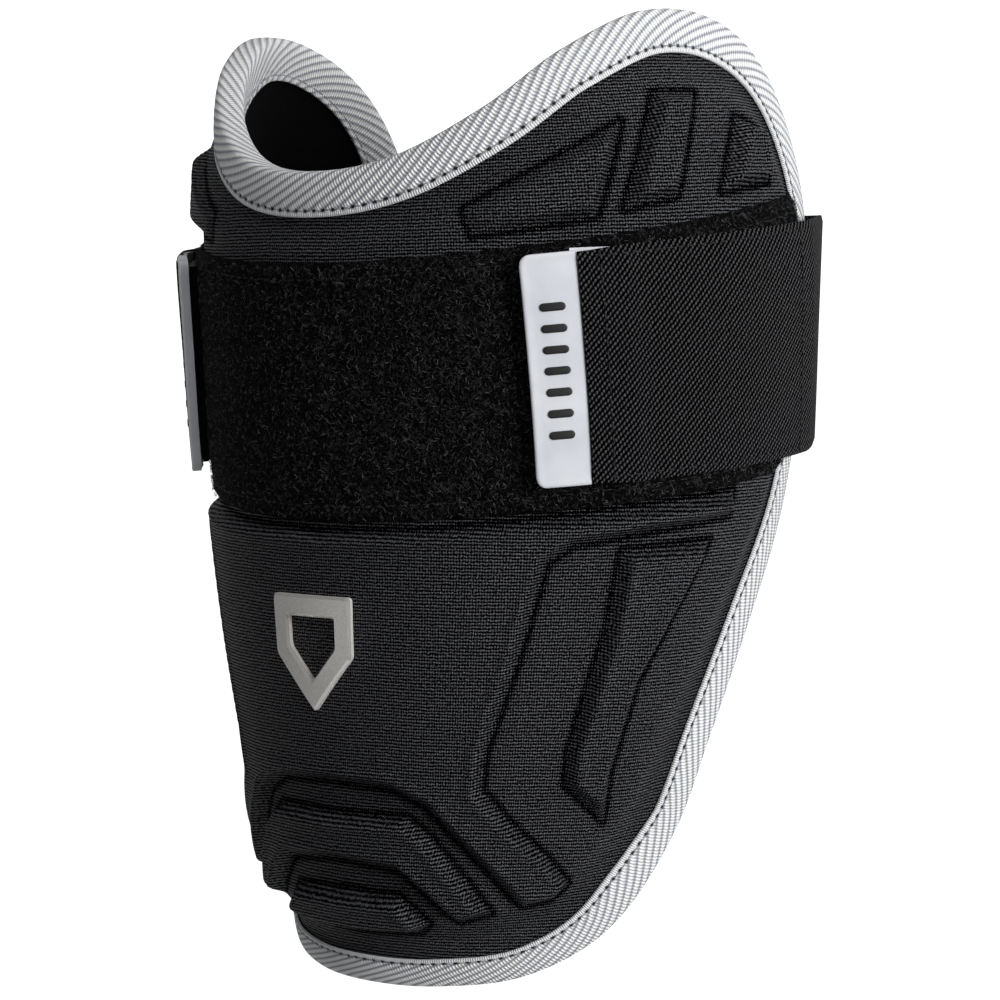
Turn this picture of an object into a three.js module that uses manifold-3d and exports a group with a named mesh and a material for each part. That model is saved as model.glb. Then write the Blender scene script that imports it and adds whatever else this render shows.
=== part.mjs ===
// Baseball elbow guard: a moulded foam shell that wraps the elbow, with an elastic strap across its open back.
//
// The guard is drawn as it is worn: X runs across the arm, Y from the spine of the guard (-Y) to its open
// back (+Y), and Z up the arm. At the end it is turned to lie as it lies on a table, spine up.
// Every layer follows one curved sheet, the arm side of the lining. A place on the sheet is given by
// around, a share of the half wrap from the spine (0) to the wing (1, and -1 on the far wing),
// and up, a share of the height from the tail (0) to the wing's peak (1).
import * as THREE from 'three';
import Module from 'manifold-3d';

const wasm = await Module();
wasm.setup();

// Driving sizes, in millimetres
const height = 205;
const halfWidth = 64;
const frontDepth = 52.5;
const backDepth = 57.5;
const halfWrap = THREE.MathUtils.degToRad(124);
const clearance = 0.3;
const layerGap = 0.45;
const legGap = 0.65;

// Thickness of each layer
const liningThickness = 1.2;
const edgeThickness = 2.1;
const padThickness = 4.8;
const relief = 3;
const bandThickness = 1.4;
const hookThickness = 1.3;
const elasticThickness = 1.5;
const tabThickness = 2.2;
const flangeThickness = 0.8;
const badgeThickness = 1;
const tapeThickness = 1;

// Widths and lengths of the sewn and moulded pieces
const tapeWidth = 8.5;
const rampWidth = 8.2;
const reliefFlank = 2.2;
const strapWidth = 50;
const hookWidth = 44;
const hookLength = 69;
const tabHeight = 47.6;
const tabLength = 11.5;
const tabCornerRadius = 2.2;
const flangeLength = 9;
const flangeInset = 3;
const badgeWidth = 23;
const badgeHeight = 25;
const badgeRim = 4.6;
const badgeBevel = 0.5;
const strapBendRadius = 8;
const strapOverTape = 2.8;
const bandEndGap = 0.6;
const bandEndLift = 0.6;
const bandCreaseLift = 0.15;

// Offsets from the arm-side sheet, one layer on the other
const shellLow = liningThickness + clearance;
const edgeTop = shellLow + edgeThickness;
const padTop = shellLow + padThickness;
const bandLow = clearance;
const bandTop = padTop + clearance + bandThickness;
const hookLow = bandTop + layerGap;
const hookTop = hookLow + hookThickness;
const tabLow = hookTop + layerGap;
const flangeTop = tabLow + flangeThickness;

// The arm-side sheet at seven heights. Width, front and back are shares of the half width, the front depth
// and the back depth, and shift moves the widest line back by a share of the front depth.
const SECTIONS = [
  { up: 0.00, width: 0.62, front: 0.62, back: 0.66, shift: -0.16 },
  { up: 0.12, width: 0.73, front: 0.78, back: 0.80, shift: -0.11 },
  { up: 0.30, width: 0.86, front: 0.89, back: 0.92, shift: -0.05 },
  { up: 0.50, width: 0.97, front: 0.97, back: 1.00, shift: 0.00 },
  { up: 0.65, width: 1.01, front: 1.01, back: 1.06, shift: 0.02 },
  { up: 0.80, width: 1.02, front: 1.03, back: 1.10, shift: 0.02 },
  { up: 1.00, width: 0.92, front: 1.00, back: 1.06, shift: 0.00 },
];

// The near half of the outline, from the spine at the top, over the wing's peak, to the spine at the tail.
const OUTLINE = [
  { around: 0.00, up: 0.845 },
  { around: 0.15, up: 0.858 },
  { around: 0.30, up: 0.904 },
  { around: 0.44, up: 0.962 },
  { around: 0.60, up: 1.000 },
  { around: 0.76, up: 0.985 },
  { around: 0.885, up: 0.920 },
  { around: 0.96, up: 0.800 },
  { around: 0.975, up: 0.640 },
  { around: 0.935, up: 0.500 },
  { around: 0.85, up: 0.380 },
  { around: 0.785, up: 0.260 },
  { around: 0.735, up: 0.155 },
  { around: 0.61, up: 0.065 },
  { around: 0.42, up: 0.018 },
  { around: 0.20, up: 0.003 },
  { around: 0.00, up: 0.000 },
];

// Rows of the outline where its side meets its top and its tail
const TOP_CORNER = 6;
const TAIL_CORNER = 10;

// Raised foam panels. Rise is the share of the relief that a corner reaches.
const CENTRE_PLATE = [
  { around: 0.00, up: 0.478 },
  { around: 0.20, up: 0.483 },
  { around: 0.40, up: 0.497 },
  { around: 0.55, up: 0.507 },
  { around: 0.715, up: 0.517 },
  { around: 0.712, up: 0.492 },
  { around: 0.53, up: 0.479 },
  { around: 0.425, up: 0.468 },
  { around: 0.385, up: 0.450 },
  { around: 0.350, up: 0.350 },
  { around: 0.305, up: 0.255 },
  { around: 0.302, up: 0.215 },
  { around: 0.368, up: 0.175 },
  { around: 0.432, up: 0.145 },
  { around: 0.485, up: 0.115 },
  { around: 0.455, up: 0.098 },
  { around: 0.390, up: 0.093 },
  { around: 0.250, up: 0.168 },
  { around: 0.200, up: 0.196 },
  { around: 0.135, up: 0.212 },
  { around: 0.00, up: 0.216 },
];
const CHEVRON = [
  { around: 0.00, up: 0.182 },
  { around: 0.160, up: 0.184 },
  { around: 0.203, up: 0.168 },
  { around: 0.332, up: 0.086 },
  { around: 0.262, up: 0.076 },
  { around: 0.160, up: 0.120 },
  { around: 0.140, up: 0.128 },
  { around: 0.00, up: 0.134 },
];
const TAIL_NUB = [
  { around: 0.00, up: 0.103 },
  { around: 0.140, up: 0.101 },
  { around: 0.200, up: 0.074 },
  { around: 0.170, up: 0.060 },
  { around: 0.00, up: 0.055 },
];
const BLADE = [
  { around: 0.505, up: 0.462 },
  { around: 0.672, up: 0.468 },
  { around: 0.562, up: 0.325 },
  { around: 0.533, up: 0.229 },
  { around: 0.535, up: 0.180 },
  { around: 0.450, up: 0.220 },
  { around: 0.449, up: 0.257 },
  { around: 0.492, up: 0.380 },
];
const FRONT_WEDGE = [
  { around: 0.262, up: 0.808, rise: 0.15 },
  { around: 0.508, up: 0.890, rise: 1.0 },
  { around: 0.456, up: 0.797, rise: 1.0 },
  { around: 0.272, up: 0.782, rise: 0.15 },
];
const MIDDLE_RIB = [
  { around: 0.569, up: 0.918 },
  { around: 0.645, up: 0.917 },
  { around: 0.589, up: 0.816 },
  { around: 0.498, up: 0.803 },
];
const BACK_RIB = [
  { around: 0.729, up: 0.893 },
  { around: 0.790, up: 0.880 },
  { around: 0.790, up: 0.828 },
  { around: 0.674, up: 0.818 },
];

// Divisions of the meshes
const ACROSS = 38;
const DOWN = 9;
const BAND_COLUMNS = 32;
const BAND_ROWS = 5;
const FACET = 10;

// Colours and finish
const FINISH = {
  knit: { color: 0x17181a, roughness: 0.9, metalness: 0 },
  lining: { color: 0x101011, roughness: 0.95, metalness: 0 },
  tape: { color: 0xd8d9dc, roughness: 0.75, metalness: 0 },
  loop: { color: 0x0e0e0f, roughness: 1, metalness: 0 },
  elastic: { color: 0x1b1b1d, roughness: 0.85, metalness: 0 },
  rubber: { color: 0xd2d4da, roughness: 0.4, metalness: 0 },
  badge: { color: 0xd0d0cf, roughness: 0.3, metalness: 0.9 },
};

// Curves through short tables

function hermite(before, start, end, after, share) {
  const slopeStart = (end - before) / 2;
  const slopeEnd = (after - start) / 2;
  const square = share * share;
  const cube = square * share;
  return (2 * cube - 3 * square + 1) * start + (cube - 2 * square + share) * slopeStart
    + (3 * square - 2 * cube) * end + (cube - square) * slopeEnd;
}

function sectionAt(up) {
  const held = THREE.MathUtils.clamp(up, 0, 1);
  let row = 0;
  while (row < SECTIONS.length - 2 && held > SECTIONS[row + 1].up) row += 1;
  const start = SECTIONS[row];
  const end = SECTIONS[row + 1];
  const before = SECTIONS[Math.max(row - 1, 0)];
  const after = SECTIONS[Math.min(row + 2, SECTIONS.length - 1)];
  const span = end.up - start.up;
  const share = (held - start.up) / span;
  const value = (key) => {
    const slopeStart = (end[key] - before[key]) / (end.up - before.up);
    const slopeEnd = (after[key] - start[key]) / (after.up - start.up);
    const low = end[key] - 2 * span * slopeStart;
    const high = start[key] + 2 * span * slopeEnd;
    return hermite(low, start[key], end[key], high, share);
  };
  return { width: value('width'), front: value('front'), back: value('back'), shift: value('shift') };
}

function outlineAt(turn) {
  const half = OUTLINE.length - 1;
  const knot = (index) => {
    const wrapped = ((index % (2 * half)) + 2 * half) % (2 * half);
    if (wrapped <= half) return OUTLINE[wrapped];
    const twin = OUTLINE[2 * half - wrapped];
    return { around: -twin.around, up: twin.up };
  };
  const index = Math.floor(turn);
  const rows = [-1, 0, 1, 2].map((step) => knot(index + step));
  const share = turn - index;
  return {
    around: hermite(...rows.map((row) => row.around), share),
    up: hermite(...rows.map((row) => row.up), share),
  };
}

// The arm-side sheet and the layers over it

function sheetPoint(around, up) {
  const section = sectionAt(up);
  const angle = around * halfWrap;
  const front = Math.abs(angle) < Math.PI / 2;
  const depth = front ? section.front * frontDepth : section.back * backDepth;
  return new THREE.Vector3(
    section.width * halfWidth * Math.sin(angle),
    section.shift * frontDepth - depth * Math.cos(angle),
    up * height,
  );
}

function sheetSlopes(around, up) {
  const step = 1e-3;
  const alongAround = sheetPoint(around + step, up).sub(sheetPoint(around - step, up)).divideScalar(2 * step);
  const low = Math.max(up - step, 0);
  const high = Math.min(up + step, 1);
  const alongUp = sheetPoint(around, high).sub(sheetPoint(around, low)).divideScalar(high - low);
  const normal = alongAround.clone().cross(alongUp).normalize();
  return { alongAround, alongUp, normal };
}

function place(around, up, offset) {
  return sheetPoint(around, up).addScaledVector(sheetSlopes(around, up).normal, offset);
}

// The rim: the outline cut into points, each with the way out of the sheet

function evenTurns(from, to, count) {
  const fine = 40 * count;
  const turns = Array.from({ length: fine + 1 }, (_, index) => from + (to - from) * index / fine);
  const points = turns.map((turn) => {
    const spot = outlineAt(turn);
    return sheetPoint(spot.around, spot.up);
  });
  const lengths = [0];
  for (let index = 1; index <= fine; index += 1) {
    lengths.push(lengths[index - 1] + points[index].distanceTo(points[index - 1]));
  }
  const total = lengths[fine];
  const chosen = [];
  let at = 0;
  for (let index = 0; index < count; index += 1) {
    const goal = total * index / count;
    while (lengths[at + 1] < goal) at += 1;
    const share = (goal - lengths[at]) / (lengths[at + 1] - lengths[at]);
    chosen.push(turns[at] + (turns[at + 1] - turns[at]) * share);
  }
  return chosen;
}

function rimPoint(turn) {
  const spot = outlineAt(turn);
  const ahead = outlineAt(turn + 0.02);
  const behind = outlineAt(turn - 0.02);
  const along = sheetPoint(ahead.around, ahead.up).sub(sheetPoint(behind.around, behind.up)).normalize();
  const { alongAround, alongUp, normal } = sheetSlopes(spot.around, spot.up);
  const outward = along.clone().cross(normal).normalize().negate();
  const aa = alongAround.dot(alongAround);
  const au = alongAround.dot(alongUp);
  const uu = alongUp.dot(alongUp);
  const a = outward.dot(alongAround);
  const u = outward.dot(alongUp);
  const bulk = aa * uu - au * au;
  return {
    ...spot,
    point: sheetPoint(spot.around, spot.up),
    normal,
    outward,
    outAround: (a * uu - u * au) / bulk,
    outUp: (u * aa - a * au) / bulk,
  };
}

const lastRow = 2 * (OUTLINE.length - 1);
const RIM = [
  ...evenTurns(-TOP_CORNER, TOP_CORNER, ACROSS),
  ...evenTurns(TOP_CORNER, TAIL_CORNER, DOWN),
  ...evenTurns(TAIL_CORNER, lastRow - TAIL_CORNER, ACROSS),
  ...evenTurns(lastRow - TAIL_CORNER, lastRow - TOP_CORNER, DOWN),
].map(rimPoint);

function inside(rim, distance) {
  return { around: rim.around - rim.outAround * distance, up: rim.up - rim.outUp * distance };
}

// Distance in from the rim, and the shell's height over the sheet there

const tapeReach = tapeWidth + clearance;
const rampEnd = tapeReach + rampWidth;

function edgeDistance(around, up) {
  const point = sheetPoint(around, up);
  let nearest = Infinity;
  RIM.forEach((rim, index) => {
    const next = RIM[(index + 1) % RIM.length];
    const line = new THREE.Line3(rim.point, next.point);
    const touch = line.closestPointToPoint(point, true, new THREE.Vector3());
    nearest = Math.min(nearest, touch.distanceTo(point));
  });
  return nearest;
}

function shellTop(around, up) {
  const share = THREE.MathUtils.clamp((edgeDistance(around, up) - tapeReach) / rampWidth, 0, 1);
  return edgeTop + (padTop - edgeTop) * share;
}

// Closed solids from vertices and triangles

class Skin {
  constructor() {
    this.points = [];
    this.faces = [];
  }

  add(point) {
    this.points.push(point);
    return this.points.length - 1;
  }

  quad(a, b, c, d) {
    this.faces.push([a, b, c], [a, c, d]);
  }

  strip(first, second) {
    first.forEach((start, index) => {
      const next = (index + 1) % first.length;
      this.quad(start, first[next], second[next], second[index]);
    });
  }

  solid() {
    let volume = 0;
    this.faces.forEach(([a, b, c]) => {
      const [p, q, r] = [this.points[a], this.points[b], this.points[c]];
      volume += p.dot(q.clone().cross(r)) / 6;
    });
    const faces = volume > 0 ? this.faces : this.faces.map(([a, b, c]) => [a, c, b]);
    return new wasm.Manifold(new wasm.Mesh({
      numProp: 3,
      vertProperties: new Float32Array(this.points.flatMap((point) => point.toArray())),
      triVerts: new Uint32Array(faces.flat()),
    }));
  }
}

const flatAround = halfWrap * (halfWidth + frontDepth) / 2;

// A sheet with the guard's outline: rings inside the rim, then rows and columns

function sheetSide(skin, rings, offsetInside) {
  const loops = rings.map(({ distance, offset }) => RIM.map((rim) => {
    const spot = inside(rim, distance);
    return skin.add(place(spot.around, spot.up, offset ?? shellTop(spot.around, spot.up)));
  }));
  loops.slice(1).forEach((loop, index) => skin.strip(loops[index], loop));
  const last = rings[rings.length - 1].distance;
  const inner = RIM.map((rim) => inside(rim, last));
  const seam = loops[loops.length - 1];
  const topAt = (i) => i;
  const nearAt = (j) => ACROSS + j;
  const tailAt = (i) => ACROSS + DOWN + (ACROSS - i);
  const farAt = (j) => (ACROSS + DOWN + ACROSS + (DOWN - j)) % RIM.length;
  const blend = (key, i, j) => {
    const u = i / ACROSS;
    const v = j / DOWN;
    const ends = (1 - v) * inner[topAt(i)][key] + v * inner[tailAt(i)][key];
    const sides = (1 - u) * inner[farAt(j)][key] + u * inner[nearAt(j)][key];
    const corners = (1 - u) * ((1 - v) * inner[topAt(0)][key] + v * inner[tailAt(0)][key])
      + u * ((1 - v) * inner[topAt(ACROSS)][key] + v * inner[tailAt(ACROSS)][key]);
    return ends + sides - corners;
  };
  const grid = [];
  for (let i = 0; i <= ACROSS; i += 1) {
    grid.push([]);
    for (let j = 0; j <= DOWN; j += 1) {
      let vertex;
      if (j === 0) vertex = seam[topAt(i)];
      else if (j === DOWN) vertex = seam[tailAt(i)];
      else if (i === 0) vertex = seam[farAt(j)];
      else if (i === ACROSS) vertex = seam[nearAt(j)];
      else vertex = skin.add(place(blend('around', i, j), blend('up', i, j), offsetInside));
      grid[i].push(vertex);
    }
  }
  for (let i = 0; i < ACROSS; i += 1) {
    for (let j = 0; j < DOWN; j += 1) {
      skin.quad(grid[i][j], grid[i + 1][j], grid[i + 1][j + 1], grid[i][j + 1]);
    }
  }
  return loops[0];
}

function outlinedSheet(lowRings, lowInside, highRings, highInside) {
  const skin = new Skin();
  const lowRim = sheetSide(skin, lowRings, lowInside);
  const lowCount = skin.faces.length;
  const highRim = sheetSide(skin, highRings, highInside);
  skin.faces = skin.faces.map((face, index) => (index < lowCount ? face : [face[0], face[2], face[1]]));
  skin.strip(highRim, lowRim);
  return skin.solid();
}

const flatRings = (offset) => [0, tapeReach, rampEnd].map((distance) => ({ distance, offset }));

function liningSolid() {
  return outlinedSheet(flatRings(0), 0, flatRings(liningThickness), liningThickness);
}

// The foam shell and its raised panels

function mitreInset(corners, distance) {
  const count = corners.length;
  const area = THREE.ShapeUtils.area(corners);
  const side = area > 0 ? 1 : -1;
  return corners.map((corner, index) => {
    const before = corners[(index + count - 1) % count];
    const after = corners[(index + 1) % count];
    const arriving = corner.clone().sub(before).normalize();
    const leaving = after.clone().sub(corner).normalize();
    const bisector = arriving.clone().add(leaving).normalize();
    const inward = new THREE.Vector2(-bisector.y, bisector.x).multiplyScalar(side);
    const reach = Math.max(arriving.dot(bisector), 0.5);
    return corner.clone().addScaledVector(inward, distance / reach);
  });
}

function bevelledPrism({ contour, holes = [], low, highs, bevel }) {
  const skin = new Skin();
  const loops = [contour, ...holes];
  const insets = loops.map((loop, index) => mitreInset(loop, index === 0 ? bevel : -bevel));
  const lift = (corner, offset) => skin.add(new THREE.Vector3(corner.x, corner.y, offset));
  const feet = loops.map((loop) => loop.map((corner) => lift(corner, low)));
  const tops = insets.map((loop, index) => loop.map((corner, at) => lift(corner, highs[index][at])));
  feet.forEach((foot, index) => skin.strip(foot, tops[index]));
  const bottomFaces = THREE.ShapeUtils.triangulateShape(contour, holes);
  bottomFaces.forEach(([a, b, c]) => {
    const foot = feet.flat();
    skin.faces.push([foot[a], foot[c], foot[b]]);
  });
  const topFaces = THREE.ShapeUtils.triangulateShape(insets[0], insets.slice(1));
  topFaces.forEach(([a, b, c]) => {
    const top = tops.flat();
    skin.faces.push([top[a], top[b], top[c]]);
  });
  return skin.solid();
}

function panel(corners) {
  const contour = corners.map((corner) => new THREE.Vector2(corner.around * flatAround, corner.up * height));
  const rises = corners.map((corner) => corner.rise ?? 1);
  const ordered = THREE.ShapeUtils.isClockWise(contour) ? [...contour].reverse() : contour;
  const orderedRises = ordered === contour ? rises : [...rises].reverse();
  const foot = padThickness * 0.3;
  const flat = bevelledPrism({
    contour: ordered,
    low: -foot,
    highs: [orderedRises.map((rise) => relief * rise)],
    bevel: reliefFlank,
  });
  return flat.refineToLength(FACET).warp((vertex) => {
    const around = vertex[0] / flatAround;
    const up = vertex[1] / height;
    const point = place(around, up, shellTop(around, up) + vertex[2]);
    [vertex[0], vertex[1], vertex[2]] = point.toArray();
  });
}

const mirrored = (corners) => corners.map((corner) => ({ ...corner, around: -corner.around }));
const bothHalves = (corners) => [...corners, ...mirrored(corners).reverse().slice(1, -1)];

function shellSolid() {
  const high = [{ distance: 0, offset: edgeTop }, { distance: tapeReach, offset: edgeTop }, { distance: rampEnd }];
  const base = outlinedSheet(flatRings(shellLow), shellLow, high, padTop);
  const centred = [CENTRE_PLATE, CHEVRON, TAIL_NUB].map((corners) => panel(bothHalves(corners)));
  const paired = [BLADE, FRONT_WEDGE, MIDDLE_RIB, BACK_RIB]
    .flatMap((corners) => [panel(corners), panel(mirrored(corners))]);
  return wasm.Manifold.union([base, ...centred, ...paired]);
}

// The tape bound round the rim

function bindingSolid() {
  const skin = new Skin();
  const shoulder = tapeThickness;
  const section = [
    { out: -tapeWidth, offset: edgeTop + clearance },
    { out: -tapeWidth, offset: edgeTop + clearance + tapeThickness },
    { out: clearance, offset: edgeTop + clearance + tapeThickness },
    { out: clearance + tapeThickness, offset: edgeTop + clearance + tapeThickness - shoulder },
    { out: clearance + tapeThickness, offset: -legGap - tapeThickness + shoulder },
    { out: clearance, offset: -legGap - tapeThickness },
    { out: -tapeWidth, offset: -legGap - tapeThickness },
    { out: -tapeWidth, offset: -legGap },
    { out: clearance, offset: -legGap },
    { out: clearance, offset: edgeTop + clearance },
  ];
  const hoops = RIM.map((rim) => section.map(({ out, offset }) => {
    if (out < 0) {
      const spot = inside(rim, -out);
      return skin.add(place(spot.around, spot.up, offset));
    }
    const point = rim.point.clone().addScaledVector(rim.normal, offset).addScaledVector(rim.outward, out);
    return skin.add(point);
  }));
  hoops.forEach((hoop, index) => skin.strip(hoop, hoops[(index + 1) % hoops.length]));
  return skin.solid();
}

// Strips: a closed solid between two grids of points

function slab(lowGrid, highGrid) {
  const skin = new Skin();
  const columns = lowGrid.length;
  const rows = lowGrid[0].length;
  const low = lowGrid.map((column) => column.map((point) => skin.add(point)));
  const high = highGrid.map((column) => column.map((point) => skin.add(point)));
  for (let i = 0; i < columns - 1; i += 1) {
    for (let j = 0; j < rows - 1; j += 1) {
      skin.quad(low[i][j], low[i][j + 1], low[i + 1][j + 1], low[i + 1][j]);
      skin.quad(high[i][j], high[i + 1][j], high[i + 1][j + 1], high[i][j + 1]);
    }
  }
  const border = (grid) => [
    ...grid.map((column) => column[0]),
    ...grid[columns - 1].slice(1),
    ...grid.slice(0, -1).reverse().map((column) => column[rows - 1]),
    ...grid[0].slice(1, -1).reverse(),
  ];
  skin.strip(border(low), border(high));
  return skin.solid();
}

// The loop band across the front, between the tapes of the two wings

const bandFoot = (around) => 0.488 + 0.058 * Math.abs(around) ** 1.4;
const bandHead = (around) => 0.757 + 0.075 * Math.abs(around) ** 1.6;

function aroundAtDistance(up, distance) {
  let near = 0.5;
  let far = 1;
  for (let step = 0; step < 24; step += 1) {
    const middle = (near + far) / 2;
    const outside = middle > 0.9 && outlineReach(up) < middle;
    if (outside || edgeDistance(middle, up) < distance) far = middle;
    else near = middle;
  }
  return near;
}

function outlineReach(up) {
  let reach = 0;
  RIM.forEach((rim, index) => {
    const next = RIM[(index + 1) % RIM.length];
    if (rim.around < 0.5 || (rim.up - up) * (next.up - up) > 0) return;
    reach = Math.max(reach, rim.around);
  });
  return reach;
}

function bandSolid() {
  const creaseShare = 0.92;
  const endDistance = tapeReach + bandEndGap;
  const rowsOf = (share) => {
    const column = [];
    for (let row = 0; row <= BAND_ROWS; row += 1) {
      const rise = row / BAND_ROWS;
      const middle = 0.9 * share;
      const guess = bandFoot(middle) + (bandHead(middle) - bandFoot(middle)) * rise;
      const end = aroundAtDistance(guess, endDistance);
      const crease = aroundAtDistance(guess, rampEnd);
      const pastCrease = Math.max(Math.abs(share) - creaseShare, 0) / (1 - creaseShare);
      const reach = crease * Math.min(Math.abs(share) / creaseShare, 1) + (end - crease) * pastCrease;
      const around = Math.sign(share) * reach;
      const up = bandFoot(around) + (bandHead(around) - bandFoot(around)) * rise;
      const endLift = pastCrease > 0 ? bandEndLift : bandCreaseLift;
      column.push({ around, up, lift: bandLow + (Math.abs(share) < creaseShare ? 0 : endLift) });
    }
    return column;
  };
  const ramp = [1, (1 + creaseShare) / 2];
  const flat = Array.from({ length: BAND_COLUMNS + 1 }, (_, index) => creaseShare * (2 * index / BAND_COLUMNS - 1));
  const shares = [...ramp.map((share) => -share), ...flat, ...[...ramp].reverse()];
  const spots = shares.map(rowsOf);
  const grid = (thickness) => spots.map((column) => column
    .map(({ around, up, lift }) => place(around, up, shellTop(around, up) + lift + thickness)));
  return slab(grid(0), grid(bandThickness));
}

// The strap line: along runs from the spine in millimetres on the strap, across is up the arm

const strapArc = halfWrap * ((halfWidth + frontDepth) / 2 + hookTop);
const tabStart = 0.354 * strapArc;
const elasticStart = tabStart + tabLength;
const hookStart = tabStart + flangeInset;
const strapSlant = 0.076;
const strapCentre = (around) => 0.628 + 0.05 * around;

function strapSpot(along, across) {
  const around = (along - strapSlant * across) / strapArc;
  return { around, up: strapCentre(along / strapArc) + across / height };
}

function onStrap(along, across, offset) {
  const { around, up } = strapSpot(along, across);
  return place(around, up, offset);
}

function hookSolid() {
  const columns = 14;
  const grid = (offset) => Array.from({ length: columns + 1 }, (_, column) => {
    const along = hookStart + hookLength * column / columns;
    return [-1, 0, 1].map((side) => onStrap(along, side * hookWidth / 2, offset));
  });
  return slab(grid(hookLow), grid(hookTop));
}

// The pull tab: a rounded plate with a thin flange that is sewn under the elastic

function tabSolid() {
  const half = tabHeight / 2;
  const plate = new THREE.Shape();
  plate.moveTo(tabLength, -half);
  plate.lineTo(tabLength, half);
  plate.lineTo(tabCornerRadius, half);
  plate.absarc(tabCornerRadius, half - tabCornerRadius, tabCornerRadius, Math.PI / 2, Math.PI, false);
  plate.lineTo(0, -half + tabCornerRadius);
  plate.absarc(tabCornerRadius, -half + tabCornerRadius, tabCornerRadius, Math.PI, 1.5 * Math.PI, false);
  plate.closePath();
  const corners = plate.getPoints(4).map((point) => [point.x, point.y]);
  const body = wasm.CrossSection.ofPolygons([corners], 'EvenOdd').extrude(tabThickness);
  const flange = wasm.Manifold.cube([flangeLength + 1, tabHeight - 2 * flangeInset, flangeThickness])
    .translate([tabLength - clearance - 1, -half + flangeInset, 0]);
  const trimmed = wasm.Manifold.cube([clearance, tabHeight, tabThickness])
    .translate([tabLength - clearance, -half, 0]);
  const flat = body.subtract(trimmed).add(flange);
  return flat.refineToLength(12).warp((vertex) => {
    const point = onStrap(tabStart + vertex[0], vertex[1], tabLow + vertex[2]);
    [vertex[0], vertex[1], vertex[2]] = point.toArray();
  });
}

// The elastic: over the tab's flange and the hook patch, round the wing's edge and straight across the back

const hookEnd = hookStart + hookLength;
const strapTurn = 0.955 * strapArc;
const ELASTIC_ROUTE = [
  { along: elasticStart, offset: flangeTop + layerGap },
  { along: elasticStart + flangeLength / 2, offset: flangeTop + layerGap },
  { along: elasticStart + flangeLength + 0.6, offset: flangeTop + layerGap },
  { along: elasticStart + flangeLength + 4.5, offset: hookTop + layerGap },
];
const hookStretch = 7;
const lastStretch = 4;

function elasticStations() {
  const stations = [...ELASTIC_ROUTE];
  const first = stations[stations.length - 1].along;
  const past = hookEnd + 1;
  for (let step = 1; step <= hookStretch; step += 1) {
    stations.push({ along: first + (past - first) * step / hookStretch, offset: hookTop + layerGap });
  }
  const edge = edgeTop + clearance + tapeThickness + strapOverTape;
  for (let step = 1; step <= lastStretch; step += 1) {
    const share = step / lastStretch;
    const offset = (hookTop + layerGap) * (1 - share) + edge * share;
    stations.push({ along: past + (strapTurn - past) * share, offset });
  }
  return stations;
}

function elasticLevel(across, lift) {
  const points = elasticStations().map(({ along, offset }) => onStrap(along, across, offset + lift));
  const { around, up } = strapSpot(strapTurn, across);
  const edge = edgeTop + clearance + tapeThickness + strapOverTape;
  const start = place(around, up, edge);
  const out = sheetSlopes(around, up).normal.setZ(0).normalize();
  const centre = start.clone().addScaledVector(out, -strapBendRadius);
  const from = Math.atan2(out.y, out.x);
  const bends = 5;
  for (let step = 1; step <= bends; step += 1) {
    const angle = from + (Math.PI / 2 - from) * step / bends;
    const reach = strapBendRadius + lift;
    points.push(new THREE.Vector3(
      centre.x + Math.cos(angle) * reach,
      centre.y + Math.sin(angle) * reach,
      start.z,
    ));
  }
  const backSteps = 4;
  const last = points[points.length - 1];
  for (let step = 1; step <= backSteps; step += 1) {
    points.push(new THREE.Vector3(last.x * (1 - step / backSteps), last.y, last.z));
  }
  return points;
}

function elasticSolid() {
  const levels = [-1, 0, 1].map((side) => side * strapWidth / 2);
  const grid = (lift) => {
    const near = levels.map((across) => elasticLevel(across, lift));
    const bend = elasticStations().length;
    near[1].slice(bend).forEach((point, index) => {
      point.lerpVectors(near[0][bend + index], near[2][bend + index], 0.5);
    });
    const half = near[0].map((_, station) => near.map((level) => level[station]));
    const far = half.slice(0, -1).reverse()
      .map((column) => column.map((point) => new THREE.Vector3(-point.x, point.y, point.z)));
    return [...half, ...far];
  };
  return slab(grid(0), grid(elasticThickness));
}

// The badge: a plain home-plate ring on the centre plate

function homePlate(width, tall) {
  const shoulder = tall * 0.52;
  return [
    new THREE.Vector2(-width / 2, tall / 2),
    new THREE.Vector2(-width / 2, tall / 2 - shoulder),
    new THREE.Vector2(0, -tall / 2),
    new THREE.Vector2(width / 2, tall / 2 - shoulder),
    new THREE.Vector2(width / 2, tall / 2),
  ];
}

function badgeSolid() {
  const outer = homePlate(badgeWidth, badgeHeight);
  const hole = mitreInset(outer, badgeRim).reverse();
  const low = padTop + relief + clearance;
  const flat = bevelledPrism({
    contour: outer,
    holes: [hole],
    low,
    highs: [outer.map(() => low + badgeThickness), hole.map(() => low + badgeThickness)],
    bevel: badgeBevel,
  });
  const badgeUp = 0.352;
  const arc = halfWrap * (sectionAt(badgeUp).width * halfWidth + low);
  return flat.refineToLength(6).warp((vertex) => {
    const point = place(vertex[0] / arc, badgeUp + vertex[1] / height, vertex[2]);
    [vertex[0], vertex[1], vertex[2]] = point.toArray();
  });
}

// Named meshes

function geometryOf(solid) {
  const { vertProperties, triVerts, numProp } = solid.getMesh();
  const geometry = new THREE.BufferGeometry();
  const positions = new Float32Array(vertProperties.length / numProp * 3);
  for (let index = 0; index < positions.length / 3; index += 1) {
    positions.set(vertProperties.slice(index * numProp, index * numProp + 3), index * 3);
  }
  geometry.setAttribute('position', new THREE.BufferAttribute(positions, 3));
  geometry.setIndex(new THREE.BufferAttribute(new Uint32Array(triVerts), 1));
  geometry.computeVertexNormals();
  return geometry;
}

function piece(name, solid, finish) {
  const mesh = new THREE.Mesh(geometryOf(solid), new THREE.MeshStandardMaterial(finish));
  mesh.name = name;
  return mesh;
}

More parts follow.
